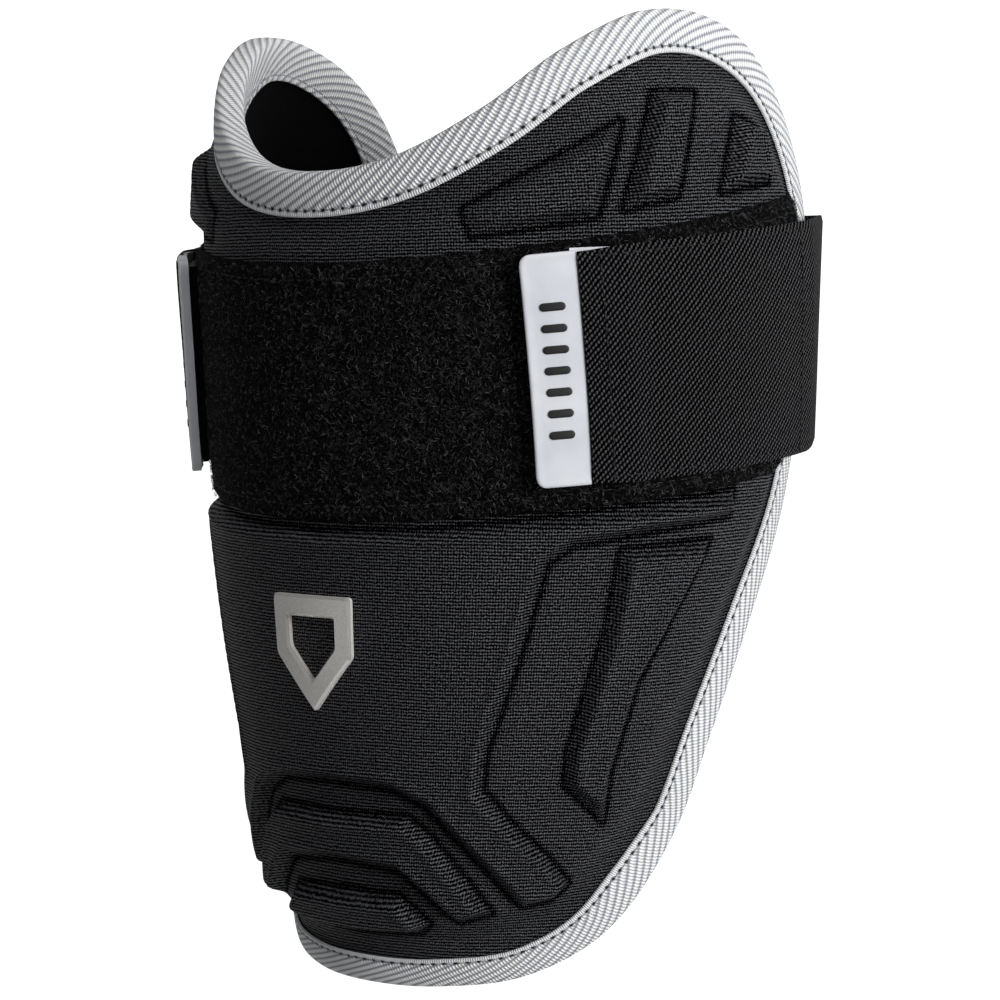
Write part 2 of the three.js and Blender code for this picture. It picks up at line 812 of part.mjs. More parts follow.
const acrossArm = [1, 0, 0];
const tab = tabSolid();
const hook = hookSolid();
const worn = new THREE.Group();
worn.add(
  piece('padded_shell', shellSolid(), FINISH.knit),
  piece('inner_lining', liningSolid(), FINISH.lining),
  piece('edge_binding', bindingSolid(), FINISH.tape),
  piece('loop_band', bandSolid(), FINISH.loop),
  piece('elastic_strap', elasticSolid(), FINISH.elastic),
  piece('near_pull_tab', tab, FINISH.rubber),
  piece('far_pull_tab', tab.mirror(acrossArm), FINISH.rubber),
  piece('near_hook_patch', hook, FINISH.loop),
  piece('far_hook_patch', hook.mirror(acrossArm), FINISH.loop),
  piece('badge', badgeSolid(), FINISH.badge),
);

// Lying on a table: the spine is turned up, then the guard leans until its two lowest lines touch

function leanOf(group) {
  const depths = [];
  group.traverse((mesh) => {
    if (!mesh.isMesh) return;
    const position = mesh.geometry.getAttribute('position');
    for (let index = 0; index < position.count; index += 1) {
      depths.push({ along: position.getZ(index), down: position.getY(index) });
    }
  });
  const middle = height / 2;
  const steepest = (lean) => {
    const drop = ({ along, down }) => down * Math.cos(lean) - along * Math.sin(lean);
    return depths.reduce((best, spot) => (drop(spot) > drop(best) ? spot : best));
  };
  let low = 0;
  let high = Math.PI / 3;
  for (let step = 0; step < 40; step += 1) {
    const lean = (low + high) / 2;
    if (steepest(lean).along > middle) low = lean;
    else high = lean;
  }
  return (low + high) / 2;
}

const lean = leanOf(worn);
worn.rotation.x = lean - Math.PI / 2;

const elbowGuard = new THREE.Group();
elbowGuard.add(worn);
elbowGuard.updateMatrixWorld(true);
const bounds = new THREE.Box3().setFromObject(elbowGuard, true);
const centre = bounds.getCenter(new THREE.Vector3());
worn.position.set(-centre.x, -centre.y, -bounds.min.z);
elbowGuard.updateMatrixWorld(true);

export default elbowGuard;
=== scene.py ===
# %% [markdown]
# # A baseball elbow guard
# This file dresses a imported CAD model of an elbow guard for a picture. The guard is foam under a black
# ribbed knit, with a light tape sewn round its rim and an elastic strap across its open back. Each step says
# what the piece is on the real thing, and why it is made in this way here.

# %% Load the CAD model as a fixed frame
import math

import bpy
import numpy as np
from mathutils import Matrix, Vector


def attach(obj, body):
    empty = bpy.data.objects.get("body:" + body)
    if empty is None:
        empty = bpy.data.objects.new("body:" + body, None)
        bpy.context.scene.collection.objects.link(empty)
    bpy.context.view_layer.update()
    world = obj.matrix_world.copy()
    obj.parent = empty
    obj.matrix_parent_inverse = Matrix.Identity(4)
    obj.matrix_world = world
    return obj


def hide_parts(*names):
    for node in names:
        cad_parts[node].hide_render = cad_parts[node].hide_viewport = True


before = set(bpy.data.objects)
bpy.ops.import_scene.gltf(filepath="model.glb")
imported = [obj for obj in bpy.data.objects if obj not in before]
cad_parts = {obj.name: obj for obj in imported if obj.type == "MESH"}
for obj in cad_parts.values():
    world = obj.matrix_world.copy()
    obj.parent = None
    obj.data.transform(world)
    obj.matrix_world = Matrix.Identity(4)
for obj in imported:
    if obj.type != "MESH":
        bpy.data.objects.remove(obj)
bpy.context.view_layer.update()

# %% [markdown]
# ## One curved sheet for every layer
# The guard's layers all follow the same surface, the arm side of the lining. A place on it is given by two
# shares: around, from the spine (0) to either wing (1 and -1), and up, from the tail (0) to the wing's peak
# (1). The sizes are the CAD model's own, in millimetres, so a piece drawn on this sheet lies where its solid
# lies.

# %% Sizes of the sheet
HEIGHT = 205.0
HALF_WIDTH = 64.0
FRONT_DEPTH = 52.5
BACK_DEPTH = 57.5
HALF_WRAP = math.radians(124)
FLAT_AROUND = HALF_WRAP * (HALF_WIDTH + FRONT_DEPTH) / 2
MM = 0.001

# Columns: up, width, front, back and shift, as shares of the sizes above
SECTIONS = np.array([
    [0.00, 0.62, 0.62, 0.66, -0.16],
    [0.12, 0.73, 0.78, 0.80, -0.11],
    [0.30, 0.86, 0.89, 0.92, -0.05],
    [0.50, 0.97, 0.97, 1.00, 0.00],
    [0.65, 1.01, 1.01, 1.06, 0.02],
    [0.80, 1.02, 1.03, 1.10, 0.02],
    [1.00, 0.92, 1.00, 1.06, 0.00],
])

# Columns: around and up, from the spine at the top over the wing's peak to the spine at the tail
OUTLINE = np.array([
    [0.00, 0.845], [0.15, 0.858], [0.30, 0.904], [0.44, 0.962], [0.60, 1.000], [0.76, 0.985],
    [0.885, 0.920], [0.96, 0.800], [0.975, 0.640], [0.935, 0.500], [0.85, 0.380], [0.785, 0.260],
    [0.735, 0.155], [0.61, 0.065], [0.42, 0.018], [0.20, 0.003], [0.00, 0.000],
])
print("sections:", len(SECTIONS), "outline rows:", len(OUTLINE))


# %% The sheet as a function of around and up
def hermite(start, end, slope_start, slope_end, share):
    square = share * share
    cube = square * share
    return ((2 * cube - 3 * square + 1) * start + (cube - 2 * square + share) * slope_start
            + (3 * square - 2 * cube) * end + (cube - square) * slope_end)


def section_at(up):
    levels = SECTIONS[:, 0]
    held = np.clip(up, 0, 1)
    row = np.clip(np.searchsorted(levels, held, side="left") - 1, 0, len(levels) - 2)
    last = len(levels) - 1
    ahead = np.minimum(np.arange(len(levels)) + 1, last)
    behind = np.maximum(np.arange(len(levels)) - 1, 0)
    slopes = (SECTIONS[ahead] - SECTIONS[behind]) / (levels[ahead] - levels[behind])[:, None]
    span = (levels[row + 1] - levels[row])[..., None]
    share = (held[..., None] - levels[row][..., None]) / span
    return hermite(SECTIONS[row], SECTIONS[row + 1], slopes[row] * span, slopes[row + 1] * span, share)


def sheet(around, up):
    section = section_at(up)
    angle = around * HALF_WRAP
    front = np.abs(angle) < math.pi / 2
    depth = np.where(front, section[..., 2] * FRONT_DEPTH, section[..., 3] * BACK_DEPTH)
    across = section[..., 1] * HALF_WIDTH * np.sin(angle)
    back = section[..., 4] * FRONT_DEPTH - depth * np.cos(angle)
    return np.stack([across, back, up * HEIGHT], axis=-1)


def slopes_at(around, up):
    step = 1e-3
    low = np.maximum(up - step, 0)
    high = np.minimum(up + step, 1)
    along_around = (sheet(around + step, up) - sheet(around - step, up)) / (2 * step)
    along_up = (sheet(around, high) - sheet(around, low)) / (high - low)[..., None]
    normal = np.cross(along_around, along_up)
    return along_around, along_up, normal / np.linalg.norm(normal, axis=-1, keepdims=True)


def place(around, up, offset):
    around, up, offset = np.broadcast_arrays(np.asarray(around, float), np.asarray(up, float),
                                             np.asarray(offset, float))
    return sheet(around, up) + slopes_at(around, up)[2] * offset[..., None]


print("spine at mid height, mm:", place(0, 0.5, 0).round(1))

# %% [markdown]
# The sheet is drawn as the guard is worn. On the table the guard lies spine up and leans a little, so every
# point is turned and moved by the same amounts as in the CAD model before it goes into a mesh.

# %% From the worn guard to the guard on the table
LEAN = math.radians(27.09)
TABLE_SHIFT = (0.0, -80.919, -16.368)
TURN = np.array([
    [1, 0, 0],
    [0, math.sin(LEAN), math.cos(LEAN)],
    [0, -math.cos(LEAN), math.sin(LEAN)],
])


def on_table(points):
    return (points @ TURN.T + np.array(TABLE_SHIFT)) * MM


print("tail of the spine on the table, m:", on_table(place(0, 0, 0)).round(4))


# %% The rim, and how far a place is from it
def outline_at(turn):
    half = len(OUTLINE) - 1
    near = OUTLINE
    far = OUTLINE[1:-1][::-1] * np.array([-1, 1])
    knots = np.concatenate([near, far])
    index = np.floor(turn).astype(int)
    share = (turn - index)[..., None]
    rows = [knots[(index + step) % (2 * half)] for step in (-1, 0, 1, 2)]
    return hermite(rows[1], rows[2], (rows[2] - rows[0]) / 2, (rows[3] - rows[1]) / 2, share)


def even_turns(count):
    turns = np.linspace(0, 2 * (len(OUTLINE) - 1), 4001)
    spots = outline_at(turns)
    steps = np.linalg.norm(np.diff(sheet(spots[:, 0], spots[:, 1]), axis=0), axis=1)
    lengths = np.concatenate([[0], np.cumsum(steps)])
    goals = lengths[-1] * np.arange(count) / count
    return np.interp(goals, lengths, turns), lengths[-1]


RIM_PARTS = 360
RIM_TURNS, RIM_LENGTH = even_turns(RIM_PARTS)
RIM_SPOTS = outline_at(RIM_TURNS)
RIM_POINTS = sheet(RIM_SPOTS[:, 0], RIM_SPOTS[:, 1])


def edge_distance(around, up):
    points = sheet(around, up)
    nearest = np.full(points.shape[:-1], np.inf)
    for start, end in zip(RIM_POINTS, np.roll(RIM_POINTS, -1, axis=0)):
        line = end - start
        share = np.clip((points - start) @ line / (line @ line), 0, 1)
        away = points - start - share[..., None] * line
        nearest = np.minimum(nearest, np.einsum("...k,...k->...", away, away))
    return np.sqrt(nearest)


def within(corners, around, up):
    hits = np.zeros(np.broadcast(around, up).shape, int)
    for (a0, u0), (a1, u1) in zip(corners, np.roll(corners, -1, axis=0)):
        crosses = (u0 > up) != (u1 > up)
        rise = u1 - u0 if u1 != u0 else 1.0
        hits += crosses & (around < (a1 - a0) * (up - u0) / rise + a0)
    return hits % 2 == 1


print("rim length, mm:", round(RIM_LENGTH, 1))

# %% Offsets of the layers from the sheet
LINING = 1.2
CLEARANCE = 0.3
SHELL_LOW = 1.5
EDGE_TOP = 3.6
PAD_TOP = 6.3
RELIEF = 3.0
HOOK_LOW = 8.45
HOOK_TOP = 9.75
TAB_LOW = 10.2
FLANGE_TOP = 11.0
LAYER_GAP = 0.45
TAPE_WIDTH = 8.5
TAPE_THICKNESS = 1.0
TAPE_REACH = TAPE_WIDTH + CLEARANCE
RAMP_WIDTH = 8.2
STITCH_OUT = -7.1
STITCH_SPACING = 2.4
STITCH_COUNT = round(RIM_LENGTH / STITCH_SPACING)
STITCH_PITCH = RIM_LENGTH / STITCH_COUNT


def smooth(share):
    held = np.clip(share, 0, 1)
    return held * held * (3 - 2 * held)


def pad_height(distance):
    return EDGE_TOP + (PAD_TOP - EDGE_TOP) * smooth((distance - TAPE_REACH) / RAMP_WIDTH)


print("foam stands", PAD_TOP - SHELL_LOW, "mm, and", EDGE_TOP - SHELL_LOW, "mm under the tape")
print("stitches round the rim:", STITCH_COUNT)

# %% [markdown]
# ## Meshes from numbers
# Most pieces are sheets: a grid of points with a top and an underside. One function turns points, faces and a
# flat layout into an object. The flat layout is kept as the UV map in millimetres, so a weave can follow it.
# It holds a spot for each point, or for each corner of each face where a ring closes on itself.


# %% Make an object from points and faces
def put_in_scene(name, data):
    item = bpy.data.objects.new(name, data)
    bpy.context.scene.collection.objects.link(item)
    return item


def plain_object(name, points, edges, faces):
    mesh = bpy.data.meshes.new(name)
    mesh.from_pydata(points, edges, faces)
    return put_in_scene(name, mesh)


def make_piece(name, points, faces, layout=None, materials=(), face_slots=None, crease=50):
    mesh = bpy.data.meshes.new(name)
    mesh.from_pydata(points.tolist(), [], faces)
    if layout is not None:
        corners = np.empty(len(mesh.loops), int)
        mesh.loops.foreach_get("vertex_index", corners)
        layer = mesh.uv_layers.new(name="flat_mm")
        spots = layout[corners] if len(layout) == len(points) else layout
        layer.data.foreach_set("uv", spots.astype(np.float32).ravel())
    for material in materials:
        mesh.materials.append(material)
    if face_slots is not None:
        mesh.polygons.foreach_set("material_index", np.asarray(face_slots, np.int32))
    mesh.shade_smooth()
    mesh.set_sharp_from_angle(angle=math.radians(crease))
    mesh.validate()
    print(name, "faces:", len(mesh.polygons))
    return put_in_scene(name, mesh)


def slab_faces(columns, rows, start=0):
    size = columns * rows
    top = start + np.arange(size).reshape(columns, rows)
    low = top + size
    faces = []
    for i in range(columns - 1):
        for j in range(rows - 1):
            faces.append((top[i, j], top[i + 1, j], top[i + 1, j + 1], top[i, j + 1]))
            faces.append((low[i, j], low[i, j + 1], low[i + 1, j + 1], low[i + 1, j]))
    border = [(i, 0) for i in range(columns)]
    border += [(columns - 1, j) for j in range(1, rows)]
    border += [(i, rows - 1) for i in range(columns - 2, -1, -1)]
    border += [(0, j) for j in range(rows - 2, 0, -1)]
    for here, there in zip(border, border[1:] + border[:1]):
        faces.append((top[here], low[here], low[there], top[there]))
    return [tuple(int(index) for index in face) for face in faces]


def make_slab(name, top, low, layout, materials):
    columns, rows = top.shape[:2]
    points = np.concatenate([top.reshape(-1, 3), low.reshape(-1, 3)])
    flat = np.concatenate([layout.reshape(-1, 2)] * 2)
    return make_piece(name, on_table(points), slab_faces(columns, rows), flat, materials)


# %% [markdown]
# A knit cover has no straight rows where the rim cuts it, so it is cut from a regular grid: the squares that
# lie inside the rim are kept. The stepped edge this leaves is under the tape, where nobody sees it.


# %% Cut a two-sided sheet from a grid
GRID_REACH = 0.98
SQUARE = ((0, 0), (1, 0), (1, 1), (0, 1))


def cut_sheet(name, spacing, margin, top_of, low_of, materials):
    """Keeps the squares that lie more than the margin inside the rim. Returns the piece and its places."""
    columns = int(2 * GRID_REACH * FLAT_AROUND / spacing)
    rows = int(HEIGHT / spacing)
    around, up = np.meshgrid(np.linspace(-GRID_REACH, GRID_REACH, columns), np.linspace(0, 1, rows),
                             indexing="ij")
    distance = edge_distance(around, up)
    inner = within(outline_at(RIM_TURNS), around, up) & (distance > margin)
    cells = inner[:-1, :-1] & inner[1:, :-1] & inner[1:, 1:] & inner[:-1, 1:]
    used = np.zeros_like(inner)
    for i, j in SQUARE:
        used[i:columns - 1 + i, j:rows - 1 + j] |= cells
    index = np.full(inner.shape, -1)
    index[used] = np.arange(used.sum())
    count = int(used.sum())
    top = place(around, up, top_of(around, up, distance))[used]
    low = place(around, up, low_of(around, up, distance))[used]
    here = np.argwhere(cells)
    quads = np.stack([index[here[:, 0] + i, here[:, 1] + j] for i, j in SQUARE], 1)
    faces = quads.tolist() + (quads[:, ::-1] + count).tolist()
    edges = np.concatenate([quads[:, [k, (k + 1) % 4]] for k in range(4)])
    known = set(map(tuple, edges.tolist()))
    faces += [(b, a, a + count, b + count) for a, b in known if (b, a) not in known]
    flat = np.stack([around[used] * FLAT_AROUND, up[used] * HEIGHT], axis=-1)
    points = on_table(np.concatenate([top, low]))
    item = make_piece(name, points, faces, np.concatenate([flat, flat]), materials)
    return item, around[used], up[used]


# %% [markdown]
# ## Materials
# A finish is a tree of shader nodes. One small function adds a node, with its settings and its links, so each
# material reads like a list. Colours are typed as they look on a screen, as hex, and turned to linear light.


# %% Colour and node helpers
def linear(code):
    shades = [int(code[at:at + 2], 16) / 255 for at in (1, 3, 5)]
    light = [shade / 12.92 if shade <= 0.04045 else ((shade + 0.055) / 1.055) ** 2.4 for shade in shades]
    return (*light, 1.0)


def add(tree, kind, *inputs, stops=(), **settings):
    """Adds one node. The kind is a node's type, or the operation of a Math node.

    An input is a plain value, another node's output, or a node, which stands for its first output. Inputs
    come in the order of the sockets, or as {socket: input}. Stops are a colour ramp's places and colours.
    """
    is_type = "Node" in kind
    node = tree.nodes.new(kind if is_type else "ShaderNodeMath")
    if not is_type:
        node.operation = kind
    for key, value in settings.items():
        setattr(node, key, value)
    wanted = {}
    for number, item in enumerate(inputs):
        wanted.update(item if isinstance(item, dict) else {number: item})
    for socket, item in wanted.items():
        source = item.outputs[0] if isinstance(item, bpy.types.Node) else item
        if isinstance(source, bpy.types.NodeSocket):
            tree.links.new(source, node.inputs[socket])
        else:
            node.inputs[socket].default_value = source
    for number, (position, code) in enumerate(stops):
        node.color_ramp.elements[number].position = position
        node.color_ramp.elements[number].color = linear(code)
    return node


def start_material(name):
    material = bpy.data.materials.new(name)
    material.use_nodes = True
    material.node_tree.nodes.clear()
    print("material:", name)
    return material, material.node_tree


def wave(tree, source, pitch, phase=0.0):
    """A smooth ridge that repeats each pitch millimetres of source, from 0 to 1."""
    angle = add(tree, "MULTIPLY_ADD", source, 2 * math.pi / pitch, phase)
    return add(tree, "MULTIPLY_ADD", add(tree, "SINE", angle), 0.5, 0.5)


def flat_axes(tree):
    layout = add(tree, "ShaderNodeUVMap", uv_map="flat_mm")
    split = add(tree, "ShaderNodeSeparateXYZ", layout)
    return layout, split.outputs[0], split.outputs[1]


# The knit's lightest colour: the yarn with a painted highlight, as it is on the tops of the loops.
KNIT_YARN_AND_HIGHLIGHT = "#56575c"
print("knit yarn in linear light:", [round(value, 4) for value in linear(KNIT_YARN_AND_HIGHLIGHT)])

# %% [markdown]
# ### Ribbed stretch knit
# The cover is a polyester and spandex knit laminated to the foam. Its courses stand up as fine ribs across
# the arm, 0.7 mm apart, and each rib is a row of loops 0.55 mm wide. Noise pushes the loops about and
# speckles the yarn. The colour follows the loops' height, as painted shade and painted highlight: black and
# matt in the hollows, and dark grey and a little glossy on the tops of the loops, so only the loops catch the
# light. The mesh also carries the distance to the nearest panel's outline, because the foot of a panel is a
# pressed line: its bump dips there, and its colour is darkened there as painted shade.


# %% Knit cover material
COURSE = 0.7
WALE = 0.55
KNIT_DEPTH = 0.22


def hump(tree, source, middle, reach):
    """A soft hump, 1 where source is middle and near 0 from reach away."""
    away = add(tree, "MULTIPLY_ADD", source, 1 / reach, -middle / reach)
    return add(tree, "POWER", math.exp(-2.5), add(tree, "MULTIPLY", away, away))


def knit_material():
    material, tree = start_material("ribbed_stretch_knit")
    layout, across, along = flat_axes(tree)
    waver = add(tree, "ShaderNodeTexNoise", {"Vector": layout, "Scale": 0.05, "Detail": 1.0})
    drift = add(tree, "MULTIPLY", waver, 0.7)
    unevenness = add(tree, "ShaderNodeTexNoise", {"Vector": layout, "Scale": 0.9, "Detail": 1.0})
    slip = add(tree, "MULTIPLY", unevenness, 0.4)
    course = wave(tree, add(tree, "ADD", add(tree, "ADD", along, drift), slip), COURSE)
    wale = wave(tree, add(tree, "ADD", across, slip), WALE)
    height = add(tree, "ADD", add(tree, "MULTIPLY", course, 0.8), add(tree, "MULTIPLY", wale, 0.45))
    grain = add(tree, "ShaderNodeTexNoise", {"Vector": layout, "Scale": 2.6, "Detail": 3.0})
    panel = add(tree, "ShaderNodeAttribute", attribute_name="panel_depth").outputs["Fac"]
    foot = hump(tree, panel, -0.5, 1.1)
    rough_height = add(tree, "ADD", height, add(tree, "MULTIPLY", grain, 0.6))
    sunk = add(tree, "ADD", rough_height, add(tree, "MULTIPLY", foot, -0.5))
    bump = add(tree, "ShaderNodeBump", {"Height": sunk, "Strength": 1.0, "Distance": KNIT_DEPTH * MM})
    # Random grain, plus painted shade in the hollows and painted highlight on the loops, taken from the
    # loops' height.
    grain_and_painted_loop_light = add(tree, "ADD", grain, add(tree, "MULTIPLY", height, 0.4))
    # Painted shade: the colour is darker along the foot of each panel, where its bump dips.
    tone_with_painted_foot_shade = add(tree, "ADD", grain_and_painted_loop_light, add(tree, "MULTIPLY", foot, -0.2))
    colour = add(tree, "ShaderNodeValToRGB", tone_with_painted_foot_shade, stops=((0.71, "#010101"), (1.0, KNIT_YARN_AND_HIGHLIGHT)))
    gloss = add(tree, "ShaderNodeMapRange", tone_with_painted_foot_shade, 0.66, 1.05, 0.0, 0.6)
    shader = add(tree, "ShaderNodeBsdfPrincipled", {
        "Base Color": colour, "Specular IOR Level": gloss, "Normal": bump, "Roughness": 0.45, "IOR": 1.5})
    add(tree, "ShaderNodeOutputMaterial", shader)
    return material


KNIT = knit_material()

# %% [markdown]
# ### Smooth lining knit
# The arm side is a plain matt black knit. It shows only through the two ends of the guard, so a fine even
# stitch is enough.


# %% Lining material
def lining_material():
    material, tree = start_material("smooth_lining_knit")
    layout, across, along = flat_axes(tree)
    stitch = add(tree, "MULTIPLY", wave(tree, across, 0.7), wave(tree, along, 0.5))
    bump = add(tree, "ShaderNodeBump", {"Height": stitch, "Strength": 0.6, "Distance": 0.08 * MM})
    cloud = add(tree, "ShaderNodeTexNoise", {"Vector": layout, "Scale": 0.5, "Detail": 3.0})
    colour = add(tree, "ShaderNodeValToRGB", cloud, stops=((0.3, "#020202"), (0.8, "#060607")))
    shader = add(tree, "ShaderNodeBsdfPrincipled", {
        "Base Color": colour, "Normal": bump, "Roughness": 0.92, "IOR": 1.45, "Sheen Weight": 0.01,
        "Specular IOR Level": 0.08})
    add(tree, "ShaderNodeOutputMaterial", shader)
    return material


LINING_KNIT = lining_material()

# %% [markdown]
# ### Twill binding tape
# The tape is a light grey polyester twill with a finer selvedge beyond its stitch line. Its fine ribs lie
# nearly across the tape, and every rib steps a little sideways from the last, so darker lines run along the
# tape at a slant, a little under 2 mm apart. The colour is white on the yarns and grey in the hollows between
# them, which is painted shade. Across is counted from the stitch line, so the needle holes are dark dashes at
# zero, one for each stitch, painted near black as painted shade.


# %% Tape material
TAPE_RIB = 0.75
TAPE_LEAN = 0.35
TAPE_LINE = 2.0
TAPE_SLANT = 0.56
SELVEDGE_RIB = 0.5
TAPE_DEPTH = 0.22


def tape_material():
    material, tree = start_material("twill_binding_tape")
    layout, along, across = flat_axes(tree)
    leaning = add(tree, "ADD", along, add(tree, "MULTIPLY", across, TAPE_LEAN))
    slanting = add(tree, "SUBTRACT", across, add(tree, "MULTIPLY", along, TAPE_SLANT))
    ribs = add(tree, "ADD", wave(tree, leaning, TAPE_RIB), 0.45)
    lines = add(tree, "ADD", wave(tree, slanting, TAPE_LINE), 0.2)
    twill = add(tree, "MULTIPLY", ribs, lines)
    ticks = add(tree, "ADD", add(tree, "MULTIPLY", wave(tree, along, SELVEDGE_RIB), 0.5), 0.35)
    main = add(tree, "ShaderNodeMapRange", across, -0.45, -0.25)
    weave = add(tree, "ShaderNodeMix", {0: main, 2: ticks, 3: twill})
    needle = add(tree, "POWER", wave(tree, along, STITCH_PITCH, math.pi / 2), 2.0)
    hole = add(tree, "MULTIPLY", needle, hump(tree, across, 0.0, 0.65))
    grain = add(tree, "ShaderNodeTexNoise", {"Vector": layout, "Scale": 1.6, "Detail": 3.0})
    height = add(tree, "ADD", weave, add(tree, "MULTIPLY", grain, 0.3))
    sunk = add(tree, "ADD", height, add(tree, "MULTIPLY", hole, -1.5))
    bump = add(tree, "ShaderNodeBump", {"Height": sunk, "Strength": 1.0, "Distance": TAPE_DEPTH * MM})
    # Painted shade: the hollows of the weave are coloured grey, and the yarns white.
    weave_tone_and_shade = add(tree, "ShaderNodeValToRGB", weave, stops=((0.08, "#6f7580"), (0.85, "#ffffff")))
    # Painted shade: the needle holes are coloured near black.
    hole_shade = add(tree, "MINIMUM", add(tree, "MULTIPLY", hole, 1.5), 1.0)
    colour = add(tree, "ShaderNodeMix", {0: hole_shade, 6: weave_tone_and_shade, 7: linear("#17181b")}, data_type="RGBA")
    shader = add(tree, "ShaderNodeBsdfPrincipled", {
        "Base Color": colour.outputs[2], "Normal": bump, "Roughness": 0.7, "IOR": 1.5, "Sheen Weight": 0.04,
        "Specular IOR Level": 0.25})
    add(tree, "ShaderNodeOutputMaterial", shader)
    return material


TAPE = tape_material()

# %% [markdown]
# ### Loop pile and hook tape
# The band is brushed nylon loop: a mat of tiny curled threads that swallows light, with a few threads
# shining. In the base the threads are the thin level lines of two noises, on nearly black. The curls above it
# are real geometry in a slightly glossier nylon.


# %% Pile, curl and hook materials
def level_lines(tree, where, scale):
    """Thin winding lines, where a noise passes through its middle value."""
    breadth = 0.05
    noise = add(tree, "ShaderNodeTexNoise", {"Vector": where, "Scale": scale, "Detail": 1.5})
    away = add(tree, "ABSOLUTE", add(tree, "SUBTRACT", noise, 0.5))
    return add(tree, "MULTIPLY_ADD", away, -1 / breadth, 1.0, use_clamp=True)


def pile_material():
    material, tree = start_material("brushed_loop_pile")
    where = add(tree, "ShaderNodeTexCoord").outputs["Object"]
    fuzz = add(tree, "ShaderNodeTexNoise", {"Vector": where, "Scale": 260.0, "Detail": 3.0})
    threads = add(tree, "MAXIMUM", level_lines(tree, where, 620.0), level_lines(tree, where, 930.0))
    bump = add(tree, "ShaderNodeBump", {"Height": threads, "Strength": 1.0, "Distance": 0.3 * MM})
    shade = add(tree, "MULTIPLY", threads, fuzz)
    colour = add(tree, "ShaderNodeValToRGB", shade, stops=((0.12, "#010101"), (0.7, "#303032")))
    shader = add(tree, "ShaderNodeBsdfPrincipled", {
        "Base Color": colour, "Normal": bump, "Roughness": 0.8, "IOR": 1.5, "Specular IOR Level": 0.05})
    add(tree, "ShaderNodeOutputMaterial", shader)
    return material


def thread_material(name, low, high, roughness, gloss):
    material, tree = start_material(name)
    where = add(tree, "ShaderNodeTexCoord").outputs["Object"]
    patch = add(tree, "ShaderNodeTexNoise", {"Vector": where, "Scale": 700.0, "Detail": 2.0})
    colour = add(tree, "ShaderNodeValToRGB", patch, stops=((0.35, low), (0.7, high)))
    shader = add(tree, "ShaderNodeBsdfPrincipled", {
        "Base Color": colour, "Roughness": roughness, "IOR": 1.53, "Specular IOR Level": gloss})
    add(tree, "ShaderNodeOutputMaterial", shader)
    return material


PILE = pile_material()
CURL = thread_material("nylon_curl", "#060606", "#5e5e62", 0.42, 0.3)
BLACK_THREAD = thread_material("black_sewing_thread", "#050506", "#1c1c1e", 0.5, 0.25)
GREY_THREAD = thread_material("grey_sewing_thread", "#777b85", "#abafb8", 0.6, 0.3)
HOOK = thread_material("moulded_hook_tape", "#020202", "#0f0f10", 0.6, 0.12)

# %% [markdown]
# ### Woven elastic
# The strap is heavy black elastic. Its face is slanting rows of short floats, the rows about a millimetre
# apart, and every float is a small glossy hump. The rows are ridges, and a second set of ridges across them
# breaks them into dashes that step from row to row. A little noise keeps them from a perfect grid.


# %% Elastic material
FLOAT_ROW = 1.35
FLOAT_LENGTH = 1.15
ELASTIC_DEPTH = 0.28


def elastic_material():
    material, tree = start_material("woven_elastic")
    layout, along, across = flat_axes(tree)
    wander = add(tree, "ShaderNodeTexNoise", {"Vector": layout, "Scale": 0.8, "Detail": 1.0})
    slip = add(tree, "MULTIPLY", wander, 0.5)
    slant = add(tree, "ADD", add(tree, "SUBTRACT", along, across), slip)
    other = add(tree, "ADD", add(tree, "ADD", along, across), slip)
    stepped = add(tree, "ADD", other, add(tree, "MULTIPLY", slant, 0.5))
    breaks = add(tree, "ADD", add(tree, "MULTIPLY", wave(tree, stepped, FLOAT_LENGTH), 0.7), 0.3)
    weave = add(tree, "MULTIPLY", wave(tree, slant, FLOAT_ROW), breaks)
    grain = add(tree, "ShaderNodeTexNoise", {"Vector": layout, "Scale": 2.4, "Detail": 3.0})
    height = add(tree, "ADD", weave, add(tree, "MULTIPLY", grain, 0.5))
    bump = add(tree, "ShaderNodeBump", {"Height": height, "Strength": 1.0, "Distance": ELASTIC_DEPTH * MM})
    shade = add(tree, "MULTIPLY", weave, add(tree, "ADD", grain, 0.4))
    colour = add(tree, "ShaderNodeValToRGB", shade, stops=((0.2, "#010101"), (0.8, "#4a4a4d")))
    gloss = add(tree, "ShaderNodeMapRange", shade, 0.15, 0.6, 0.0, 0.25)
    shader = add(tree, "ShaderNodeBsdfPrincipled", {
        "Base Color": colour, "Specular IOR Level": gloss, "Normal": bump, "Roughness": 0.5, "IOR": 1.5})
    add(tree, "ShaderNodeOutputMaterial", shader)
    return material


ELASTIC = elastic_material()

# %% [markdown]
# ### Moulded rubber and silver lacquer
# The pull tabs are satin light grey rubber, with a faint moulded grain. The badge is moulded plastic under a
# satin silver lacquer, which looks partly like metal and partly like paint. Its bevels are brighter.


# %% Rubber and lacquer materials
def rubber_material(name, low, high, roughness):
    material, tree = start_material(name)
    where = add(tree, "ShaderNodeTexCoord").outputs["Object"]
    grain = add(tree, "ShaderNodeTexNoise", {"Vector": where, "Scale": 1500.0, "Detail": 2.0})
    cloud = add(tree, "ShaderNodeTexNoise", {"Vector": where, "Scale": 120.0, "Detail": 2.0})
    bump = add(tree, "ShaderNodeBump", {"Height": grain, "Strength": 0.25, "Distance": 0.03 * MM})
    colour = add(tree, "ShaderNodeValToRGB", cloud, stops=((0.3, low), (0.7, high)))
    shader = add(tree, "ShaderNodeBsdfPrincipled", {
        "Base Color": colour, "Normal": bump, "Roughness": roughness, "IOR": 1.5, "Specular IOR Level": 0.5})
    add(tree, "ShaderNodeOutputMaterial", shader)
    return material


